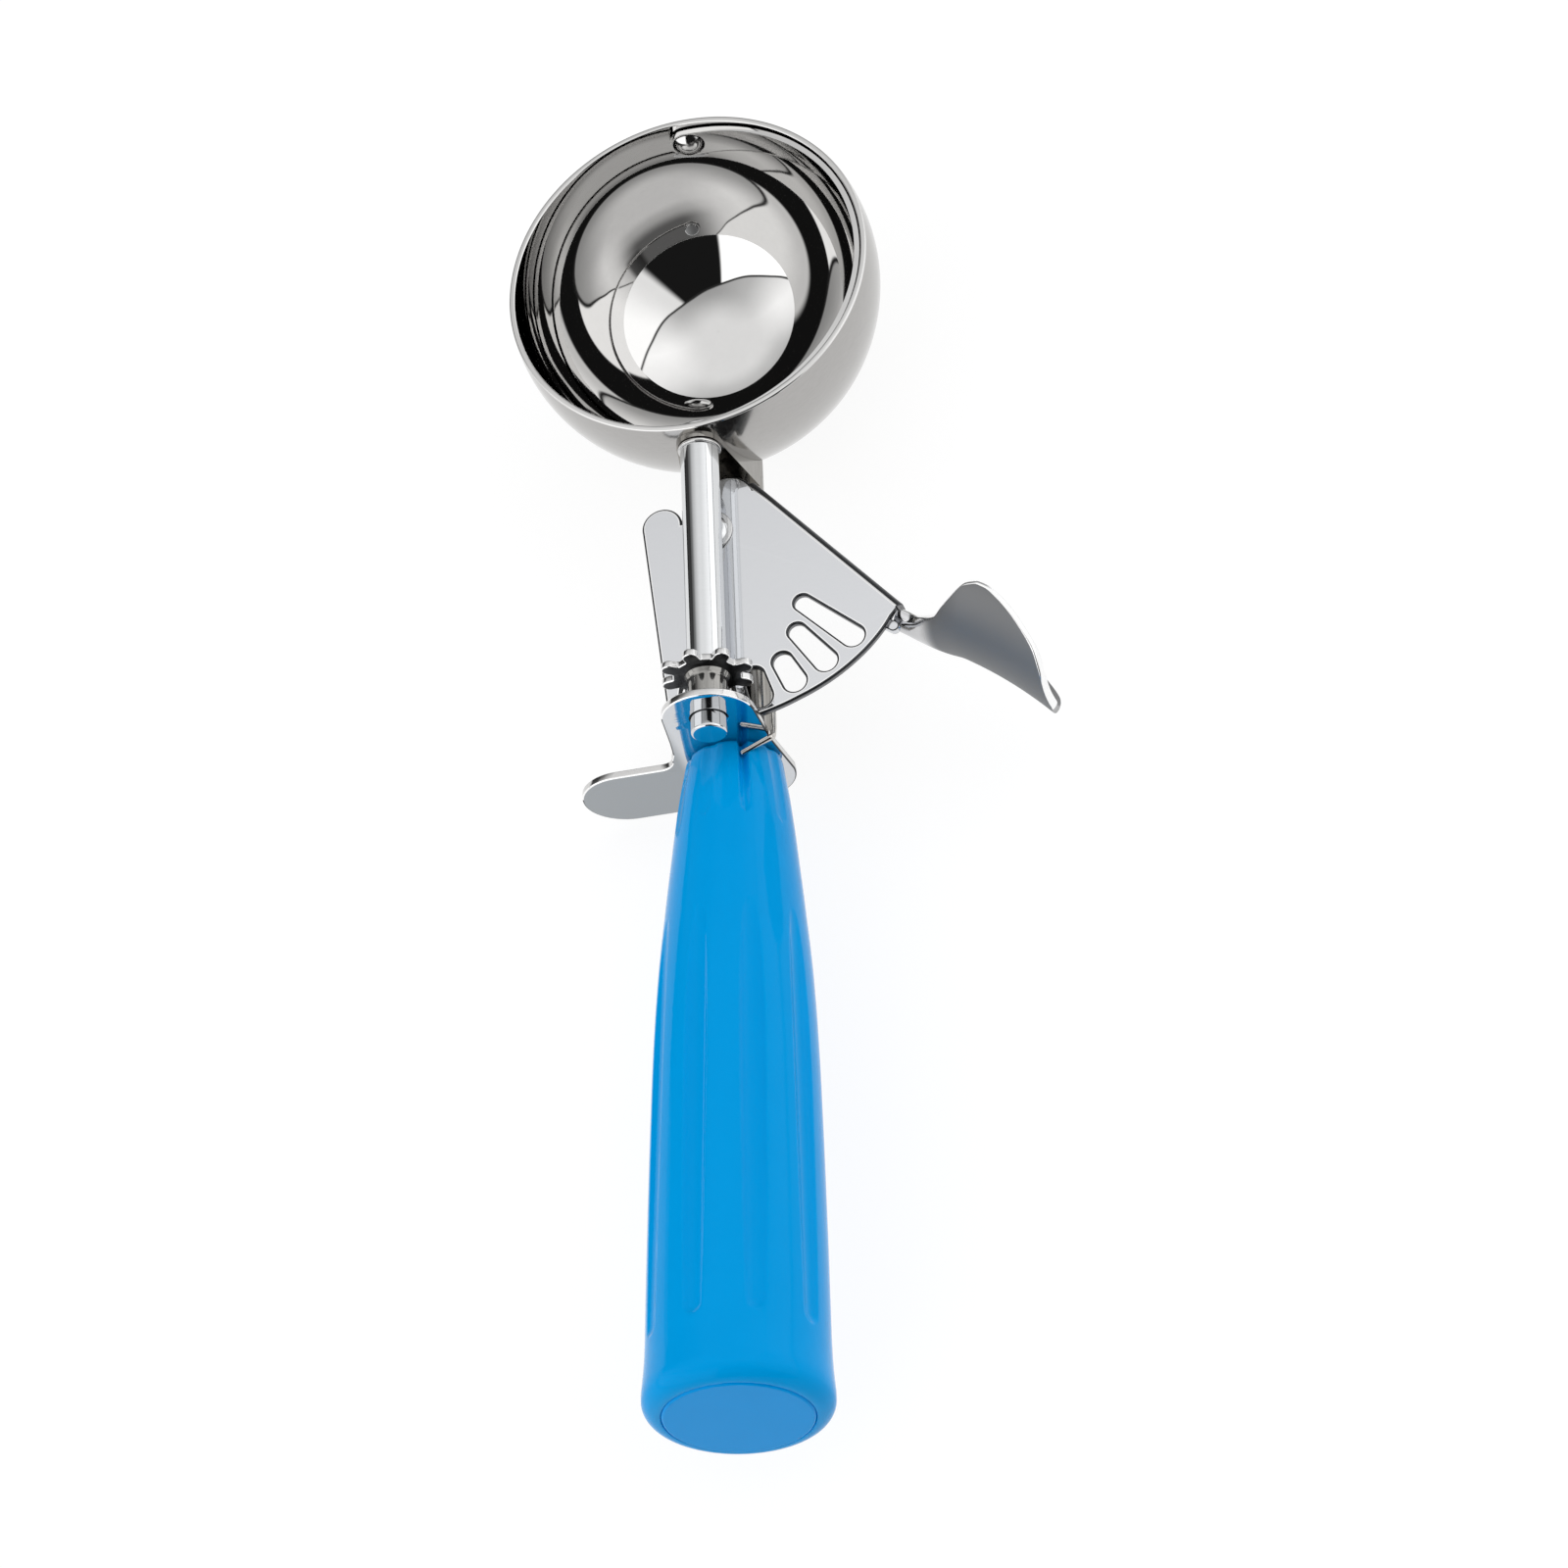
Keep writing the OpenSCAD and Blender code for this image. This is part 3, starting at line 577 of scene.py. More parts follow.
# dark grey steel for walls and near rims: painted shade that stands for the shadowed floor these faces mirror
WALL_SHADE_PAINT = steel("painted_shade_wall_steel", (0.24, 0.24, 0.245), (0.12, 0.12, 0.125), 0.18,
                     grain=(700, 700, 5000), grain_gloss=0.12, haze_gloss=0.08)
PINION_STEEL = steel("pinion_tumbled_steel", (0.66, 0.66, 0.66), (0.52, 0.52, 0.52), 0.07,
                     grain=(1800, 1800, 1800), grain_gloss=0.06, haze_gloss=0.05)
HUB_STEEL = steel("hub_dark_steel", (0.36, 0.355, 0.34), (0.24, 0.235, 0.225), 0.07,
                  grain=(1500, 300, 1500), grain_gloss=0.05, haze_gloss=0.05)
SPRING_STEEL = steel("spring_bright_wire", (0.66, 0.64, 0.61), (0.48, 0.465, 0.44), 0.08,
                     grain=(1500, 1500, 1500), grain_gloss=0.05, haze_gloss=0.05)
BLUE = plastic("grip_blue_plastic", (0.0, 0.355, 0.83), (0.0, 0.340, 0.80), 0.05)
PLUG_BLUE = plastic("plug_blue_plastic", (0.0, 0.345, 0.86), (0.0, 0.332, 0.83), 0.10)


def dull_from(material, start, way, length, colour, gloss):
    """Let a steel pass to a duller colour from the point start on, along the direction way."""
    tree = material.node_tree
    shader = tree.nodes["Principled BSDF"]
    place = tree.nodes.new("ShaderNodeTexCoord").outputs["Object"]
    along = node(tree, "ShaderNodeVectorMath", [(0, place), (1, tuple(way))], operation="DOT_PRODUCT")
    dull = node(tree, "ShaderNodeMapRange", [("Value", along.outputs["Value"]), ("From Min", start.dot(way)),
                                             ("From Max", start.dot(way) + length)],
                interpolation_type="SMOOTHSTEP")
    for socket, value, kind in (("Base Color", (*colour, 1), "RGBA"), ("Roughness", gloss, "FLOAT")):
        was = shader.inputs[socket].links[0].from_socket
        tree.links.new(mixed(tree, dull.outputs[0], was, value, kind), shader.inputs[socket])
    return material


def leaf_steel():
    """Pressed leaf: bright in its neck, dull grey from the bend on."""
    material = steel("thumb_rest_steel", (0.62, 0.62, 0.63), (0.54, 0.54, 0.55), 0.07,
                     grain=(900, 900, 900), grain_gloss=0.04, haze_gloss=0.05)
    start = row_point(lever_point(*turned(LEAF_FROM, 0, -THUMB_ANGLE), 0))
    way = Vector((*turned(1, 0, -THUMB_ANGLE), 0))
    return dull_from(material, start, way, 0.004, (0.215, 0.217, 0.220), 0.58)


def bracket_steel():
    """Polished under the shaft; out along the finger guard the colour is painted darker, a painted reflection
    that stands for the darker surroundings the guard's face mirrors, at an even gloss.
    """
    material = steel("bracket_polished_steel", (0.64, 0.65, 0.665), (0.60, 0.61, 0.625), 0.03,
                     grain=(700, 700, 3000), grain_gloss=0.02, haze_gloss=0.03)
    start, way = row_point((-6.2, 0, 0)), Vector((-1, 0, 0))
    return dull_from(material, start, way, 0.0022, (0.325, 0.345, 0.36), 0.06)


# ---------- bowl ----------

def make_bowl():
    soft, sides, steps = 0.22, 224, 65

    def wall(radius):
        top = math.asin((RIM_Z - soft) / radius)
        turns = (-math.pi / 2 + (top + math.pi / 2) * k / steps for k in range(steps + 1))
        return [(radius * math.cos(t), radius * math.sin(t)) for t in turns]

    out_r = math.sqrt(BOWL_R ** 2 - RIM_Z ** 2)
    in_r = math.sqrt(BOWL_IN ** 2 - RIM_Z ** 2)
    profile = wall(BOWL_R) + arc(out_r - soft, RIM_Z - soft, soft, 20, 90, 4)
    profile += arc(in_r + soft, RIM_Z - soft, soft, 90, 160, 4) + wall(BOWL_IN)[::-1]
    points, faces = turned_profile(profile, sides, lambda x, y, z: (z, x, y))
    # the outside rows take the darker steel with its painted reflection
    tones = [int(row < steps) for row in range(len(profile) - 1) for _ in range(sides)]
    bowl = smooth_piece("bowl_shell", points, faces, [BOWL_STEEL, BOWL_SKIN], "frame", ["bowl"],
                        "polished_steel", weighted=False, tones=tones,
                        cutters=[plain_rod(2.16, -24, -34), plain_rod(1.52, 24, 34)])
    # both walls are true spheres, so their normals come from the centre
    mesh, centre = bowl.data, row_point((0, 0, 0))
    normals = []
    for face in mesh.polygons:
        spots = [mesh.vertices[mesh.loops[i].vertex_index].co - centre for i in face.loop_indices]
        outside, inside = (all(abs(p.length * 1000 - r) < 0.02 for p in spots) for r in (BOWL_R, BOWL_IN))
        for i, p in zip(face.loop_indices, spots):
            if outside or inside:
                normals.append(p.normalized() * (1 if outside else -1))
            else:
                normals.append(mesh.corner_normals[i].vector.copy())
    mesh.normals_split_custom_set(normals)
    return bowl


def make_bowl_rivet():
    dome_r, centre_y, seat_y = 3.204, 28.688, 26.684
    dome = [(0, centre_y - dome_r)]
    for k in range(1, 17):
        a = math.radians(51.3 * k / 16)
        dome.append((dome_r * math.sin(a), min(centre_y - dome_r * math.cos(a), seat_y)))
    profile = dome + [(1.5, seat_y, 0), (1.5, 28.9, 0), (2.3, 28.9, 0.08), (2.3, 29.4, 0.2), (0, 29.4)]
    return turned_piece("bowl_rivet_headed", profile, 96, None, WASHER_STEEL, "frame", "bowl_rivet",
                        "polished_steel")


# ---------- blade and its shaft ----------

def make_blade():
    """Half ring between two spheres, rounded where it wraps the rivet and the shaft."""
    half, lug = 2.9, 3.3
    tilt = math.radians(-2.2)
    stations = []
    for k in range(14):
        a = math.radians(90 * k / 13)
        stations.append((-half * math.cos(a), half * math.sin(a), 1))
    for k in range(1, 120):
        stations.append((None, half, 180 * k / 120))
    for k in range(28):
        a = math.radians(-28 + 118 * k / 27)
        stations.append((-lug * math.sin(a), lug * math.cos(a), -1))
    across = 14
    rows = []
    for x, width, side in stations:
        line = []
        for j in range(across + 1):
            z = width * (2 * j / across - 1)
            if x is None:
                a = math.radians(side)
                direction = Vector((math.sin(a), math.cos(a), 0))
                line.append(("ring", direction, z))
            else:
                line.append(("disc", x, z, side))
        rows.append(line)

    def spot(item, radius):
        if item[0] == "ring":
            reach = math.sqrt(radius ** 2 - item[2] ** 2)
            p = Vector((item[1].x * reach, item[1].y * reach, item[2]))
        else:
            _, x, z, side = item
            p = Vector((x, side * math.sqrt(radius ** 2 - x * x - z * z), z))
        return (p.x * math.cos(tilt) + p.z * math.sin(tilt), p.y,
                -p.x * math.sin(tilt) + p.z * math.cos(tilt))

    # keep only ring stations that lie outside the discs' own stations
    rows = [r for r in rows if not (r[0][0] == "ring" and (r[0][1].x * 27.3 < 0.6 and r[0][1].y > 0))]
    rows = [r for r in rows if not (r[0][0] == "ring" and (r[0][1].x * 27.3 < 2.1 and r[0][1].y < 0))]
    cols = 2 * (across + 1)
    points = []
    for line in rows:
        points += [spot(item, BLADE_OUT) for item in line]
        points += [spot(item, BLADE_IN) for item in reversed(line)]
    faces = grid_faces(len(rows), cols)
    faces.append(tuple(range(cols)))
    faces.append(tuple((len(rows) - 1) * cols + j for j in range(cols)))
    return smooth_piece("blade_half_ring", points, faces, BLADE_STEEL, "scraper", ["scraper_blade"],
                        "polished_steel", cutters=[plain_rod(1.56, 24, 30), plain_rod(2.12, -24, -30)],
                        bevel=0.14, sharp=50)


def make_shaft():
    profile = [(0, -26.0), (2.6, -26.0, 0.3), (2.6, -26.75, 0), (2.1, -26.75, 0), (2.1, -30.187, 0),
               (2.95, -30.187, 0.2), (2.95, -68.35, 0), (2.7, -68.35, 0), (2.7, -79.15, 0.42), (0, -79.15)]
    turned_piece("shaft_ground", profile, 128, None, SHAFT_STEEL, "scraper", "scraper_shaft",
                 "polished_steel")


def make_shaft_washer():
    profile = [(2.12, -29.687, 0), (3.3, -29.687, 0.15), (3.3, -30.187, 0.15), (2.12, -30.187, 0),
               (2.12, -29.687)]
    turned_piece("shaft_washer_turned", profile, 128, None, WASHER_STEEL, "scraper", "shaft_washer",
                 "satin_steel")


def make_pinion():
    root, tip, lobe, fillet = 5.12, 6.0, 1.2, 0.42
    foot = math.sqrt((root + fillet) ** 2 - (lobe + fillet) ** 2)
    lean = math.degrees(math.atan2(lobe + fillet, foot))
    loop = []
    pitch = 360 / LOBES
    for i in range(LOBES):
        turn = -90 + (MESH_PHASE + i) * pitch
        side = arc(foot, -(lobe + fillet), fillet, 180 - lean, 90, 6)
        around = arc(tip, 0, lobe, -90, 90, 20)
        other = arc(foot, lobe + fillet, fillet, -90, -180 + lean, 6)
        loop += [turned(u, v, turn) for u, v in side + around + other]
        loop += [turned(u, v, turn) for u, v in arc(0, 0, root, lean, pitch - lean, 6)[1:-1]]
    hole = list(reversed(ring(0, 0, 2.72, 72)))
    # the rounded edges are painted as a highlight, and the face towards the bracket plate (-Y) is painted as
    # shade for the shadow between them
    points, faces, tones = stamped([thinned(loop), hole], 68.35, 69.45, 0.17, lambda u, v, h: (u, -h, v),
                                   tone=lambda part, u, v: CORNER_HIGHLIGHT if part == ROUND_SHADE else SHEET,
                                   high_face=ROUND_SHADE)
    return smooth_piece("pinion_stamped", points, faces, [PINION_STEEL, EDGE_HIGHLIGHT_PAINT, EDGE_SHADE_PAINT], "scraper",
                        ["pinion"], "satin_steel", tones=tones)


def make_pinion_hub():
    profile = [(2.72, -69.45, 0), (3.45, -69.45, 0.1), (3.05, -70.25, 0.3), (3.0, -74.9, 0.12),
               (2.72, -74.9, 0), (2.72, -69.45)]
    turned_piece("pinion_hub_turned", profile, 128, None, HUB_STEEL, "scraper", "pinion_hub", "dark_steel")


# ---------- bracket plate ----------

def make_bracket_plate():
    guard_x, guard_r = -25.4, 6.85
    outline = arc(0, 0, 7, 0, 176.7, 88) + [(-7.25, -2), (-7.7, -6), (-8.2, -9.4)]
    outline += arc(-11.3, -11.1, 2.4, 0, -90, 20)
    outline += arc(guard_x + guard_r, -20.35, guard_r, 90, 270, 72)
    outline += arc(0, -19.2, 8, -90, 0, 40)
    outline += [(7, -9.4)]
    hole = list(reversed(ring(0, 0, 2.76, 96)))
    # slot for the tang
    w, h = 4.02, 1.72
    slot = [(-w, HANDLE_Z - h), (-w, HANDLE_Z + h), (w, HANDLE_Z + h), (w, HANDLE_Z - h)]

    # roundings that face up (+Z) are painted as a highlight, the others as shade; the walls take the washer
    # steel
    def tone(part, u, v):
        if part == ROUND_SHADE:
            return ROUND_SHADE if v < 0.25 else CORNER_HIGHLIGHT
        return WALL

    points, faces, tones = stamped([thinned(outline), hole, slot], 75.2, 76.4, 0.2,
                                   lambda u, v, h: (u, -h, v), steps=4, tone=tone)
    return smooth_piece("bracket_stamped", points, faces, [bracket_steel(), EDGE_HIGHLIGHT_PAINT, EDGE_SHADE_PAINT, WASHER_STEEL],
                        "frame", ["bracket_plate"], "polished_steel", tones=tones)


# ---------- lever ----------

def make_lever_plate():
    fold_angle, fold_at, fold_from, fold_to = 49.3, 9.1, 1.6, 32.1
    edge_r, left_x, tail_x, tail_top, tail_r = 33.3, -7.5, -7.75, 2.4, 3.15
    along = Vector((math.cos(math.radians(-fold_angle)), math.sin(math.radians(-fold_angle))))
    outward = Vector((-along.y, along.x))
    corner = outward * fold_at + along * fold_to
    apex = outward * fold_at - along * fold_from
    low = -math.sqrt(edge_r ** 2 - left_x ** 2)
    rim = ring(0, 0, edge_r, 360)
    body = [tuple(apex), tuple(corner + along), (22, -40), (left_x, -40), (left_x, low),
            (tail_x - tail_r, tail_top), (tail_x + tail_r, tail_top), (-3.6, 2.4), (-3.6, 5.4),
            (-1.2, 7.4), (2.6, 9.3)]
    bulge = [(-68, 0), (-60, 0.2), (-52, 0.34), (-46, 0.4), (-40, 0.36), (-36, 0.2)]
    swell = [(0, -20)]
    for k in range(41):
        a = -68 + 32 * k / 40
        r = edge_r + interpolated(bulge, a)
        swell.append((r * math.cos(math.radians(a)), r * math.sin(math.radians(a))))
    swell += [tuple(corner), tuple(corner - along * 6)]
    tail, boss, crown = ring(tail_x, tail_top, tail_r, 96), ring(2.6, 4.9, 4.4, 128), ring(0, 5, 3.6, 96)
    bore = ring(0, 0, 1.96, 64)
    starts, tapers = [25.4, 25.4, 25.2, 24.9, 22, 18.9], [0.15, 0.15, 0.15, 0.25, 0.4, 0.45]
    far_w, far_r, slant, slant_r = 1.75, 32.2, 3, 27.5
    windows = []
    for i, (start, taper) in enumerate(zip(starts, tapers)):
        near_w = far_w - taper
        shape = arc(start + near_w, 0, near_w, 90, 270, 20) + arc(far_r - far_w, 0, far_w, -90, 90, 20)
        shape = [turned(u - slant_r, v, slant) for u, v in shape]
        at = -90 + (MESH_PHASE - 1 + i) * WINDOW_PITCH
        windows.append([turned(u + slant_r, v, at) for u, v in shape])

    def inside(p):
        p = tuple(p)
        if in_polygon(p, bore) or any(in_polygon(p, w) for w in windows):
            return False
        if in_polygon(p, body) and math.hypot(*p) < edge_r:
            return True
        return any(in_polygon(p, shape) for shape in (swell, tail, boss, crown))

    loops = traced([rim, body, swell, tail, boss, crown, bore] + windows, inside)

    def on_fold(p):
        d = Vector(p)
        return abs(d.dot(outward) - fold_at) < 1e-3 and -fold_from - 0.01 < d.dot(along) < fold_to + 0.01

    # roundings and walls are painted as shade, the rim inside the edge as a highlight
    sheet = stamped(loops, LEVER_TOP - LEVER_T, LEVER_TOP, 0.32, lever_point, keep=on_fold, low_edge=0.12,
                    rim=0.15)
    # the folded edge: a round bend, then a flange that hangs down
    bend, deep = 1.3, 4.2
    profile = arc(fold_at, -bend, bend, 90, 0, 12) + arc(fold_at + bend - 0.2, -deep + 0.2, 0.2, 0, -90, 4)
    profile += arc(fold_at + bend - 0.8, -deep + 0.2, 0.2, -90, -180, 4)
    profile += [(fold_at + 0.3, -1.3), (fold_at, -1.0)]
    profile = [(u, v) for u, v in reversed(profile)]

    def fold_place(u, v, h):
        spot = along * h + outward * u
        return lever_point(spot.x, spot.y, LEVER_TOP + v)

    # on the fold, faces turned outward and the roundings at its ends are painted as shade, faces turned up as
    # a highlight; the far end face takes the wall's painted shade
    def fold_tone(part, u, v):
        if part != WALL:
            return ROUND_SHADE
        return ROUND_SHADE if u > 0.22 else CORNER_HIGHLIGHT if v > 0.9 else SHEET

    flange = stamped([profile], -fold_from, fold_to, 0.15, fold_place, tone=fold_tone, high_face=WALL)
    # thick tab under the corner, beside the thumb rest's neck
    tab = arc(1.05, -0.6, 0.8, -90, 90, 16) + [(-5, 0.2), (-5, -1.4)]

    def tab_place(u, v, h):
        x, y = turned(THUMB_ROOT + u, v, -THUMB_ANGLE)
        return lever_point(x, y, h)

    # the tab's rounded edges are painted as shade
    tab = stamped([tab], -7.6, -6.29, 0.15, tab_place,
                  tone=lambda part, u, v: SHEET if part == WALL else ROUND_SHADE)
    points, faces, tones = joined(sheet, flange, tab)
    return smooth_piece("lever_plate_stamped", points, faces, [PLATE_STEEL, EDGE_HIGHLIGHT_PAINT, EDGE_SHADE_PAINT, WALL_SHADE_PAINT],
                        "lever", ["lever_plate"], "satin_steel", tones=tones)


# ---------- thumb rest ----------

LEAF_LEN, LEAF_HALF, NECK_R, CURL_R, REST_T = 30.8, 14.3, 2.6, 14.0, 1.3
NECK_Z = LEVER_TOP - LEVER_T - 0.06 - NECK_R
LEAF_Z = NECK_Z + 3.8
LEAF_SHAPE = [(0, 0.283), (0.096, 0.293), (0.177, 0.35), (0.27, 0.427), (0.32, 0.575), (0.362, 0.71),
              (0.398, 0.836), (0.427, 0.922), (0.455, 0.961), (0.494, 0.997), (0.537, 1.001), (0.612, 0.966),
              (0.705, 0.896), (0.768, 0.83), (0.835, 0.749), (0.882, 0.672), (0.92, 0.555), (0.95, 0.41),
              (0.972, 0.232), (0.99, 0.109), (1, 0.051)]


def make_thumb_rest():
    def place(s, w, d):
        r = NECK_R + (CURL_R - NECK_R) * ramp(s, 2, 10)
        a = w / r
        bow = 1.9 * max(0, (s - 14) / (LEAF_LEN - 14.2)) ** 2
        u, v = s, r - (r - d) * math.cos(a) - bow
        z = (r - d) * math.sin(a) + NECK_Z + (LEAF_Z - NECK_Z) * ramp(s, 3, 13)
        x, y = turned(THUMB_ROOT + u, v, -THUMB_ANGLE)
        return lever_point(x, y, z)

    across, soft = 40, 0.5
    stations = [LEAF_LEN * k / 150 for k in range(147)]
    stations += [LEAF_LEN * (146 / 150 + 4 / 150 * (k / 8)) for k in range(1, 9)]
    points = []
    for s in stations:
        high = LEAF_HALF * interpolated(LEAF_SHAPE, s / LEAF_LEN)
        low = -min(high, 1.4 + (high - 1.4) * min(1, max(0, (s - 1) / 9)))
        edge = min(soft, (high - low) * 0.3)
        for j in range(across + 1):
            points.append(place(s, low + edge + (high - low - 2 * edge) * j / across, 0))
        for k in range(1, 6):
            a = math.pi * k / 6
            points.append(place(s, high - edge + edge * math.sin(a), REST_T / 2 * (1 - math.cos(a))))
        for j in range(across, -1, -1):
            points.append(place(s, low + edge + (high - low - 2 * edge) * j / across, REST_T))
        for k in range(1, 6):
            a = math.pi * k / 6
            points.append(place(s, low + edge - edge * math.sin(a), REST_T / 2 * (1 + math.cos(a))))
    cols = 2 * (across + 1) + 10
    faces = grid_faces(len(stations), cols)
    # the far rim and the tip's end face are painted as a highlight, the near rim as shade
    far_rim, near_rim = range(across, across + 6), range(2 * across + 7, cols)
    tones = [1 if j in far_rim else 2 if j in near_rim else 0 for _ in stations[1:] for j in range(cols)]
    faces.append(tuple(range(cols)))
    faces.append(tuple((len(stations) - 1) * cols + j for j in range(cols)))
    return smooth_piece("thumb_rest_pressed", points, faces, [leaf_steel(), EDGE_HIGHLIGHT_PAINT, WALL_SHADE_PAINT], "lever",
                        ["thumb_rest"], "satin_steel", sharp=60, tones=tones + [0, 1])


# ---------- pivot and spring ----------

def upright(x, y, z):
    """Turned pieces that stand on the lever's pivot."""
    return (z, PIVOT_Y + x, y)


def make_pivot():
    rivet = [(0, -17.5), (2.7, -17.5, 0.2), (2.7, -16.52, 0.15), (1.9, -16.52, 0), (1.9, -4.8, 0),
             (2.7, -4.8, 0.12), (2.25, -4.22, 0.25), (0, -4.2)]
    washer = [(1.92, -5.2, 0), (3.4, -5.2, 0.1), (3.4, -4.8, 0.12), (1.92, -4.8, 0), (1.92, -5.2)]
    sleeve = [(1.92, -11.7, 0), (3.0, -11.7, 0.1), (3.0, -6.4, 0.1), (1.92, -6.4, 0), (1.92, -11.7)]
    for name, profile, finish, node_name, slot in (
            ("pivot_rivet_headed", rivet, SHAFT_STEEL, "pivot_rivet", "polished_steel"),
            ("pivot_washer_pressed", washer, WASHER_STEEL, "pivot_washer", "satin_steel"),
            ("pivot_sleeve_turned", sleeve, HUB_STEEL, "pivot_spacer", "dark_steel")):
        turned_piece(name, profile, 96, upright, finish, "frame", node_name, slot)


def make_spring():
    """Hook round the bracket plate's edge, fixed leg, coil round the sleeve and free leg."""
    coil_r, start, end, low, high, wire_r = 3.725, 20, 1350, -10.925, -7.075, 0.475
    leg = [(2.7, -37.5, -7.75), (6.995, -35.85, -7.4), (7.495, -35.5, -7.7), (7.595, -35.0, -8.1),
           (7.625, -33.6, -8.5), (7.395, -20, -9.0), (4.725, -6, -10.825)]
    coil = []
    steps = 111
    for k in range(steps + 1):
        a = math.radians(start + (end - start) * k / steps)
        coil.append((coil_r * math.cos(a), coil_r * math.sin(a), low + (high - low) * k / steps))
    a = math.radians(end)
    way = (-math.sin(a), math.cos(a))
    free = [(coil[-1][0] + s * way[0], coil[-1][1] + s * way[1], coil[-1][2]) for s in (3, 8, 14.2)]
    corner = smooth_curve(leg[:5], 8)[:-1]
    run = smooth_curve([leg[3]] + leg[4:] + coil[:2], 8)[8:-9]
    parts = [("return_spring_hook", "frame", corner + run + [Vector(coil[0])]),
             ("return_spring_wound", None,
               [Vector(p) for p in coil] + smooth_curve([coil[-1]] + free, 3)[1:])]
    for name, body, route in parts:
        points, faces = wire([Vector((p[0], PIVOT_Y + p[1], p[2])) for p in route], wire_r)
        piece = smooth_piece(name, points, faces, SPRING_STEEL, body, ["return_spring"], "dark_steel",
                             sharp=50)
    # the coil, made last, hangs on no body; its placement is baked into its points
    tuple(row_point((0, PIVOT_Y, low)))
    tuple(row_point((0, PIVOT_Y, high)))
    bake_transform(piece)


# ---------- handle ----------

GRIP_PROFILE = [(0, 6.6), (0.35, 6.95), (1, 7.25), (2, 7.45), (3.2, 7.63), (5.2, 7.95), (7.8, 8.32),
                (12.9, 8.93), (18.1, 9.46), (23.3, 9.99), (28.4, 10.47), (33.4, 10.95), (38.5, 11.35),
                (43.4, 11.65), (48.4, 11.9), (55.7, 12.17), (63, 12.36), (72.4, 12.57), (82, 12.75),
                (91, 12.88), (97, 12.96), (99.6, 13.04), (101.5, 13.15), (103.6, 13.33), (104.9, 13.44)]


def soft_least(a, b, blend):
    """The smaller of two heights, blended over a short reach so that the lip is soft."""
    h = max(0.0, blend - abs(a - b)) / blend
    return min(a, b) - h * h * blend / 4


def groove_height(s, turn):
    """Radius left by the long groove nearest to the angle turn (radians from its middle)."""
    start, stop, tool_r, no_groove = 31.0, 96.3, 3.0, 99
    t = min(1, max(0, (s - start) / (stop - start)))
    centre = 10.62 + (12.45 - 10.62) * t + tool_r
    beyond = max(0, start - s, s - stop)
    if beyond >= tool_r:
        return no_groove
    size = math.sqrt(tool_r ** 2 - beyond ** 2)
    off = centre * math.sin(turn)
    if abs(off) >= size:
        return no_groove
    return centre * math.cos(turn) - math.sqrt(size ** 2 - off ** 2)


def flute_depth(s, off, deep):
    """Depth of a short flute at the neck, off from its middle line."""
    half = (0.9 if deep else 1.25) * math.sqrt(max(0.0, 1 - (max(0.0, s - 13.2) / 1.3) ** 2))
    if half <= abs(off) or s > 14.5:
        return 0.0
    return (1.7 - 0.1 * s if deep else 0.30 - 0.012 * s) * (1 - (off / half) ** 2) ** 1.3


def make_grip():
    columns, groove_at, flute_at, bore, butt_r, butt_round = 432, 26.5, 25.5, 4.7, 13.46, 2.6
    spots = [0, 0.12, 0.25, 0.4, 0.6, 0.85, 1.2, 1.6, 2.1, 2.7, 3.4]
    s = 4.0
    while s < 104.6:
        spots.append(s)
        s += 0.3 if (12 < s < 16 or 94 < s < 100 or 27 < s < 36) else 0.62
    spots.append(104.9)
    rounding = [(GRIP_LEN - butt_round * (1 - math.sin(a)), butt_r - butt_round * (1 - math.cos(a)))
                for a in (math.radians(d) for d in range(10, 91, 8))]

    def ring_at(s, radius_of):
        """Points round the handle at s. The top end leans back to lie flat on the bracket plate."""
        line = []
        for j in range(columns):
            psi = 2 * math.pi * j / columns
            r = radius_of(psi)
            lean = r * math.cos(psi) * math.tan(HANDLE_TILT) * max(0.0, 1 - s / 9.0)
            line.append(on_handle(r * math.sin(psi), -(s + lean), r * math.cos(psi)))
        return line

    def plain(rings):
        return [ring_at(s, lambda psi, r=r: r) for s, r in rings]

    def surface(s):
        base = interpolated(GRIP_PROFILE, s)

        def radius_of(psi):
            turn = (math.degrees(psi) - groove_at + 20) % 40 - 20
            r = base
            if s > 27:
                r = soft_least(r, groove_height(s, math.radians(turn)), 0.07)
            if s < 15.2:
                turn = (math.degrees(psi) - flute_at + 20) % 40 - 20
                r -= flute_depth(s, base * math.radians(turn), abs(math.degrees(psi) - flute_at) < 20)
            return r
        return radius_of

    rows = plain([(78.5, 0.0), (78.5, bore), (40, bore), (9.2, bore), (0.0, bore)])
    rows += [ring_at(s, surface(s)) for s in spots]
    rows += plain(rounding + [(108.18, 10.78), (108.1, 10.73), (105.6, 10.72), (105.6, 0.0)])
    points = [p for line in rows for p in line]
    return smooth_piece("grip_moulded", points, grid_faces(len(rows), columns), BLUE, "frame",
                        ["handle_grip"], "blue_plastic", sharp=50)


def make_plug():
    profile = [(0, -105.6), (10.7, -105.6, 0), (10.7, -108.0, 0.05), (10.45, -108.39, 0.2), (0, -108.4)]
    turned_piece("plug_pressed", profile, 192, on_handle, PLUG_BLUE, "frame", "handle_plug", "blue_plastic")


for make in (make_bowl, make_bowl_rivet, make_blade, make_shaft, make_shaft_washer, make_pinion,
             make_pinion_hub, make_bracket_plate, make_lever_plate, make_thumb_rest, make_pivot,
             make_spring, make_grip, make_plug):
    make()
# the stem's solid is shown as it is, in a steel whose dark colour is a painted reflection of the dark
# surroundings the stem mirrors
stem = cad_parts["stem"]
stem.data.materials.clear()
stem.data.materials.append(STEM_STEEL)


# ---------- studio ----------

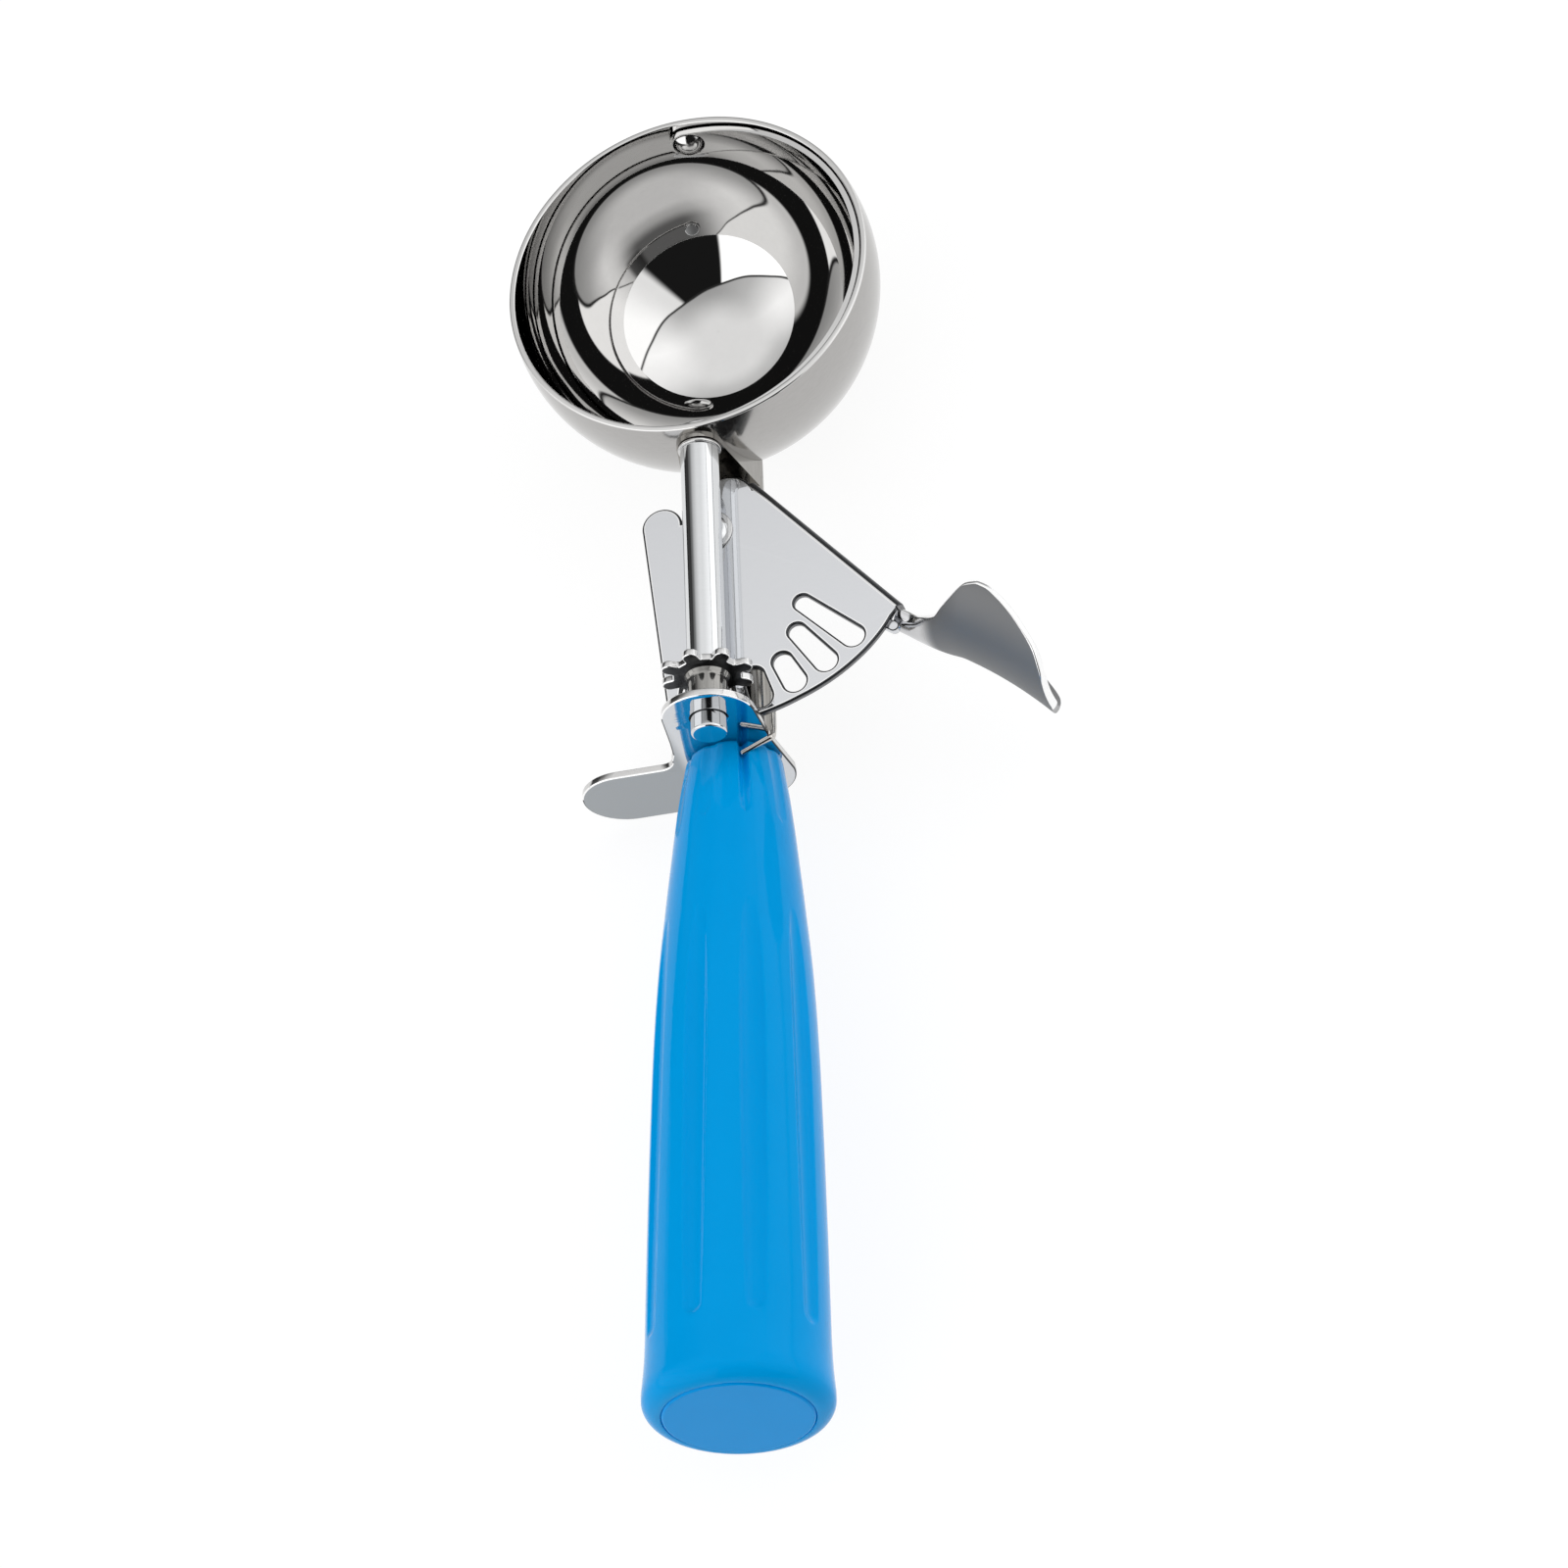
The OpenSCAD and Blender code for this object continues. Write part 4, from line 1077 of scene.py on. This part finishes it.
# height of the seam between the cloth overhead and the side panels, by azimuth (degrees)
SEAM = [(-200, 5), (-185, 18), (-170, 31), (-160, 37), (-150, 43), (-140, 47.5), (-130, 51), (-120, 54.5),
        (-110, 57.5), (-100, 59.5), (-88, 61), (-60, 62.5), (-43, 61.5), (-30, 59.5), (-20, 57), (-10, 54.5),
        (0, 52), (10, 49), (20, 44.5), (30, 39), (40, 32), (50, 24), (60, 12), (70, 2)]


def tent_light(az, el):
    """Light that the tent sends from a direction: az from +X towards +Y, el above the floor.
    A broad cloth overhead meets two bright side panels along a seam; between them it is open and dark."""
    az = (az + 180) % 360 - 180
    back_az = az - 360 if az > 150 else az

    def off(middle):
        return abs((az - middle + 180) % 360 - 180)

    front = max(0.0, math.cos(math.radians(min(90, off(-80) * 0.95))))
    right_glow = max(0.0, 1 - abs(az - 25) / 50) * ramp(80 - el, 0, 25)
    left_glow = max(0.0, 1 - off(-172) / 35) * ramp(70 - el, 0, 25)
    cloth = 1.03 - 0.55 * front * ramp(84 - el, 0, 22) + 0.40 * right_glow + 0.36 * left_glow
    far = ramp(az, 45, 92) * (1 - ramp(az, 140, 178))
    cloth *= 1 - far * (0.30 * ramp(60 - el, 0, 14) + 0.52 * ramp(48 - el, 0, 16))
    cloth *= 1 - ramp(az, 55, 75) * (1 - ramp(az, 150, 172)) * 0.85 * ramp(9 - el, 0, 4)
    # narrow dark gap at the cloth's far left corner
    cloth *= 1 - 0.8 * ramp(az, 138, 145) * (1 - ramp(az, 158, 165)) * ramp(32 - el, 0, 8)
    if back_az > 70:
        return cloth
    seam_half, seam_light, wedge_light = 1.2, 0.03, 0.012
    edge = interpolated(SEAM, back_az) - el
    if edge < -seam_half:
        return cloth
    panel = 1.10 + 0.40 * ramp(az, -35, 0) if -50 < az < 75 else 1.70 - 0.5 * ramp(-back_az, 160, 195)
    panel *= 0.2 + 0.8 * ramp(el, 1, 6)
    wedge = ramp(az, -104, -101) * (1 - ramp(az, -47 + 0.12 * (50 - el), -40 + 0.12 * (50 - el)))
    below = panel * (1 - wedge) + wedge_light * wedge
    seam = ramp(seam_half - abs(edge), 0, 0.9)
    return (below if edge > 0 else cloth) * (1 - seam) + seam_light * seam


def seen_white(tree):
    """1 for the rays that show the background: to the camera, off metal and through glass."""
    path = tree.nodes.new("ShaderNodeLightPath")
    seen = maths(tree, "ADD", path.outputs["Is Camera Ray"], path.outputs["Is Glossy Ray"])
    return maths(tree, "ADD", seen, path.outputs["Is Transmission Ray"], clamp=True)


def make_tent():
    radius, step_az, step_el = 1.5, 0.75, 0.5
    n_az, n_el = int(360 / step_az), 180
    points, glow = [], []
    for i in range(n_el + 1):
        el = -1 + i * step_el
        for j in range(n_az):
            az = j * step_az
            a, e = math.radians(az), math.radians(el)
            points.append((radius * math.cos(e) * math.cos(a), radius * math.cos(e) * math.sin(a),
                           radius * math.sin(e)))
            glow.append(tent_light(az, max(0, el)))
    faces = grid_faces(n_el + 1, n_az)
    mesh = bpy.data.meshes.new("light_tent")
    mesh.from_pydata(points, [], faces)
    layer = mesh.attributes.new("glow", "FLOAT", "POINT")
    for i, value in enumerate(glow):
        layer.data[i].value = value
    tent = placed("light_tent", mesh)
    tent.visible_camera = False
    material, tree = bare_material("tent_cloth")
    glow_node = node(tree, "ShaderNodeAttribute", attribute_name="glow")
    emit = node(tree, "ShaderNodeEmission", [("Strength", glow_node.outputs["Fac"])])
    node(tree, "ShaderNodeOutputMaterial", [("Surface", emit.outputs[0])])
    mesh.materials.append(material)


def make_floor():
    sides, radii = 96, (0.0, 0.3, 1.0, 2.0)
    turns = [2 * math.pi * j / sides for j in range(sides)]
    points = [(r * math.cos(a), r * math.sin(a), 0.0) for r in radii for a in turns]
    mesh = bpy.data.meshes.new("floor")
    mesh.from_pydata(points, [], grid_faces(len(radii), sides))
    floor = placed("floor", mesh)
    material, tree = bare_material("floor_paper")
    haze = use_group(tree, HAZE, Size=30.0, Contrast=1.0)
    paper = mixed(tree, haze.outputs["Haze"], (0.80, 0.80, 0.80, 1), (0.78, 0.78, 0.78, 1))
    body = node(tree, "ShaderNodeBsdfDiffuse", [("Color", paper)])
    faint = node(tree, "ShaderNodeBsdfDiffuse", [("Color", (0.2, 0.2, 0.2, 1))])
    glow = node(tree, "ShaderNodeEmission", [("Strength", 0.86)])
    seen = node(tree, "ShaderNodeAddShader", [(0, faint.outputs[0]), (1, glow.outputs[0])])
    mix = node(tree, "ShaderNodeMixShader",
               [(0, seen_white(tree)), (1, body.outputs[0]), (2, seen.outputs[0])])
    node(tree, "ShaderNodeOutputMaterial", [("Surface", mix.outputs[0])])
    mesh.materials.append(material)


def make_world():
    world = bpy.data.worlds.new("studio")
    bpy.context.scene.world = world
    world.use_nodes = True
    tree = world.node_tree
    tree.nodes.clear()
    strength = maths(tree, "ADD", maths(tree, "MULTIPLY", seen_white(tree), 0.1), 0.9)
    back = node(tree, "ShaderNodeBackground", [("Color", (1, 1, 1, 1)), ("Strength", strength)])
    node(tree, "ShaderNodeOutputWorld", [("Surface", back.outputs[0])])


def make_camera():
    az, el, roll = (math.radians(v) for v in (24.227, 58.981, -30.177))
    back = Vector((math.sin(az) * math.cos(el), -math.cos(az) * math.cos(el), math.sin(el)))
    side = Vector((0, 0, 1)).cross(back).normalized()
    rise = back.cross(side)
    right = side * math.cos(roll) + rise * math.sin(roll)
    up = rise * math.cos(roll) - side * math.sin(roll)
    eye = Vector((0, -60, -5.69)) + back * 690.177 + right * 10.212 + up * -21.618
    data = bpy.data.cameras.new("camera")
    data.sensor_width, data.lens = 36.0, 105.827
    data.clip_start, data.clip_end = 0.01, 20
    camera = placed("camera", data)
    turn = Matrix((right, up, back)).transposed().to_4x4()
    camera.matrix_world = Matrix.Translation(row_point(eye)) @ turn
    bpy.context.scene.camera = camera


make_tent()
make_floor()
make_world()
make_camera()
bpy.context.scene.view_settings.view_transform = "Standard"
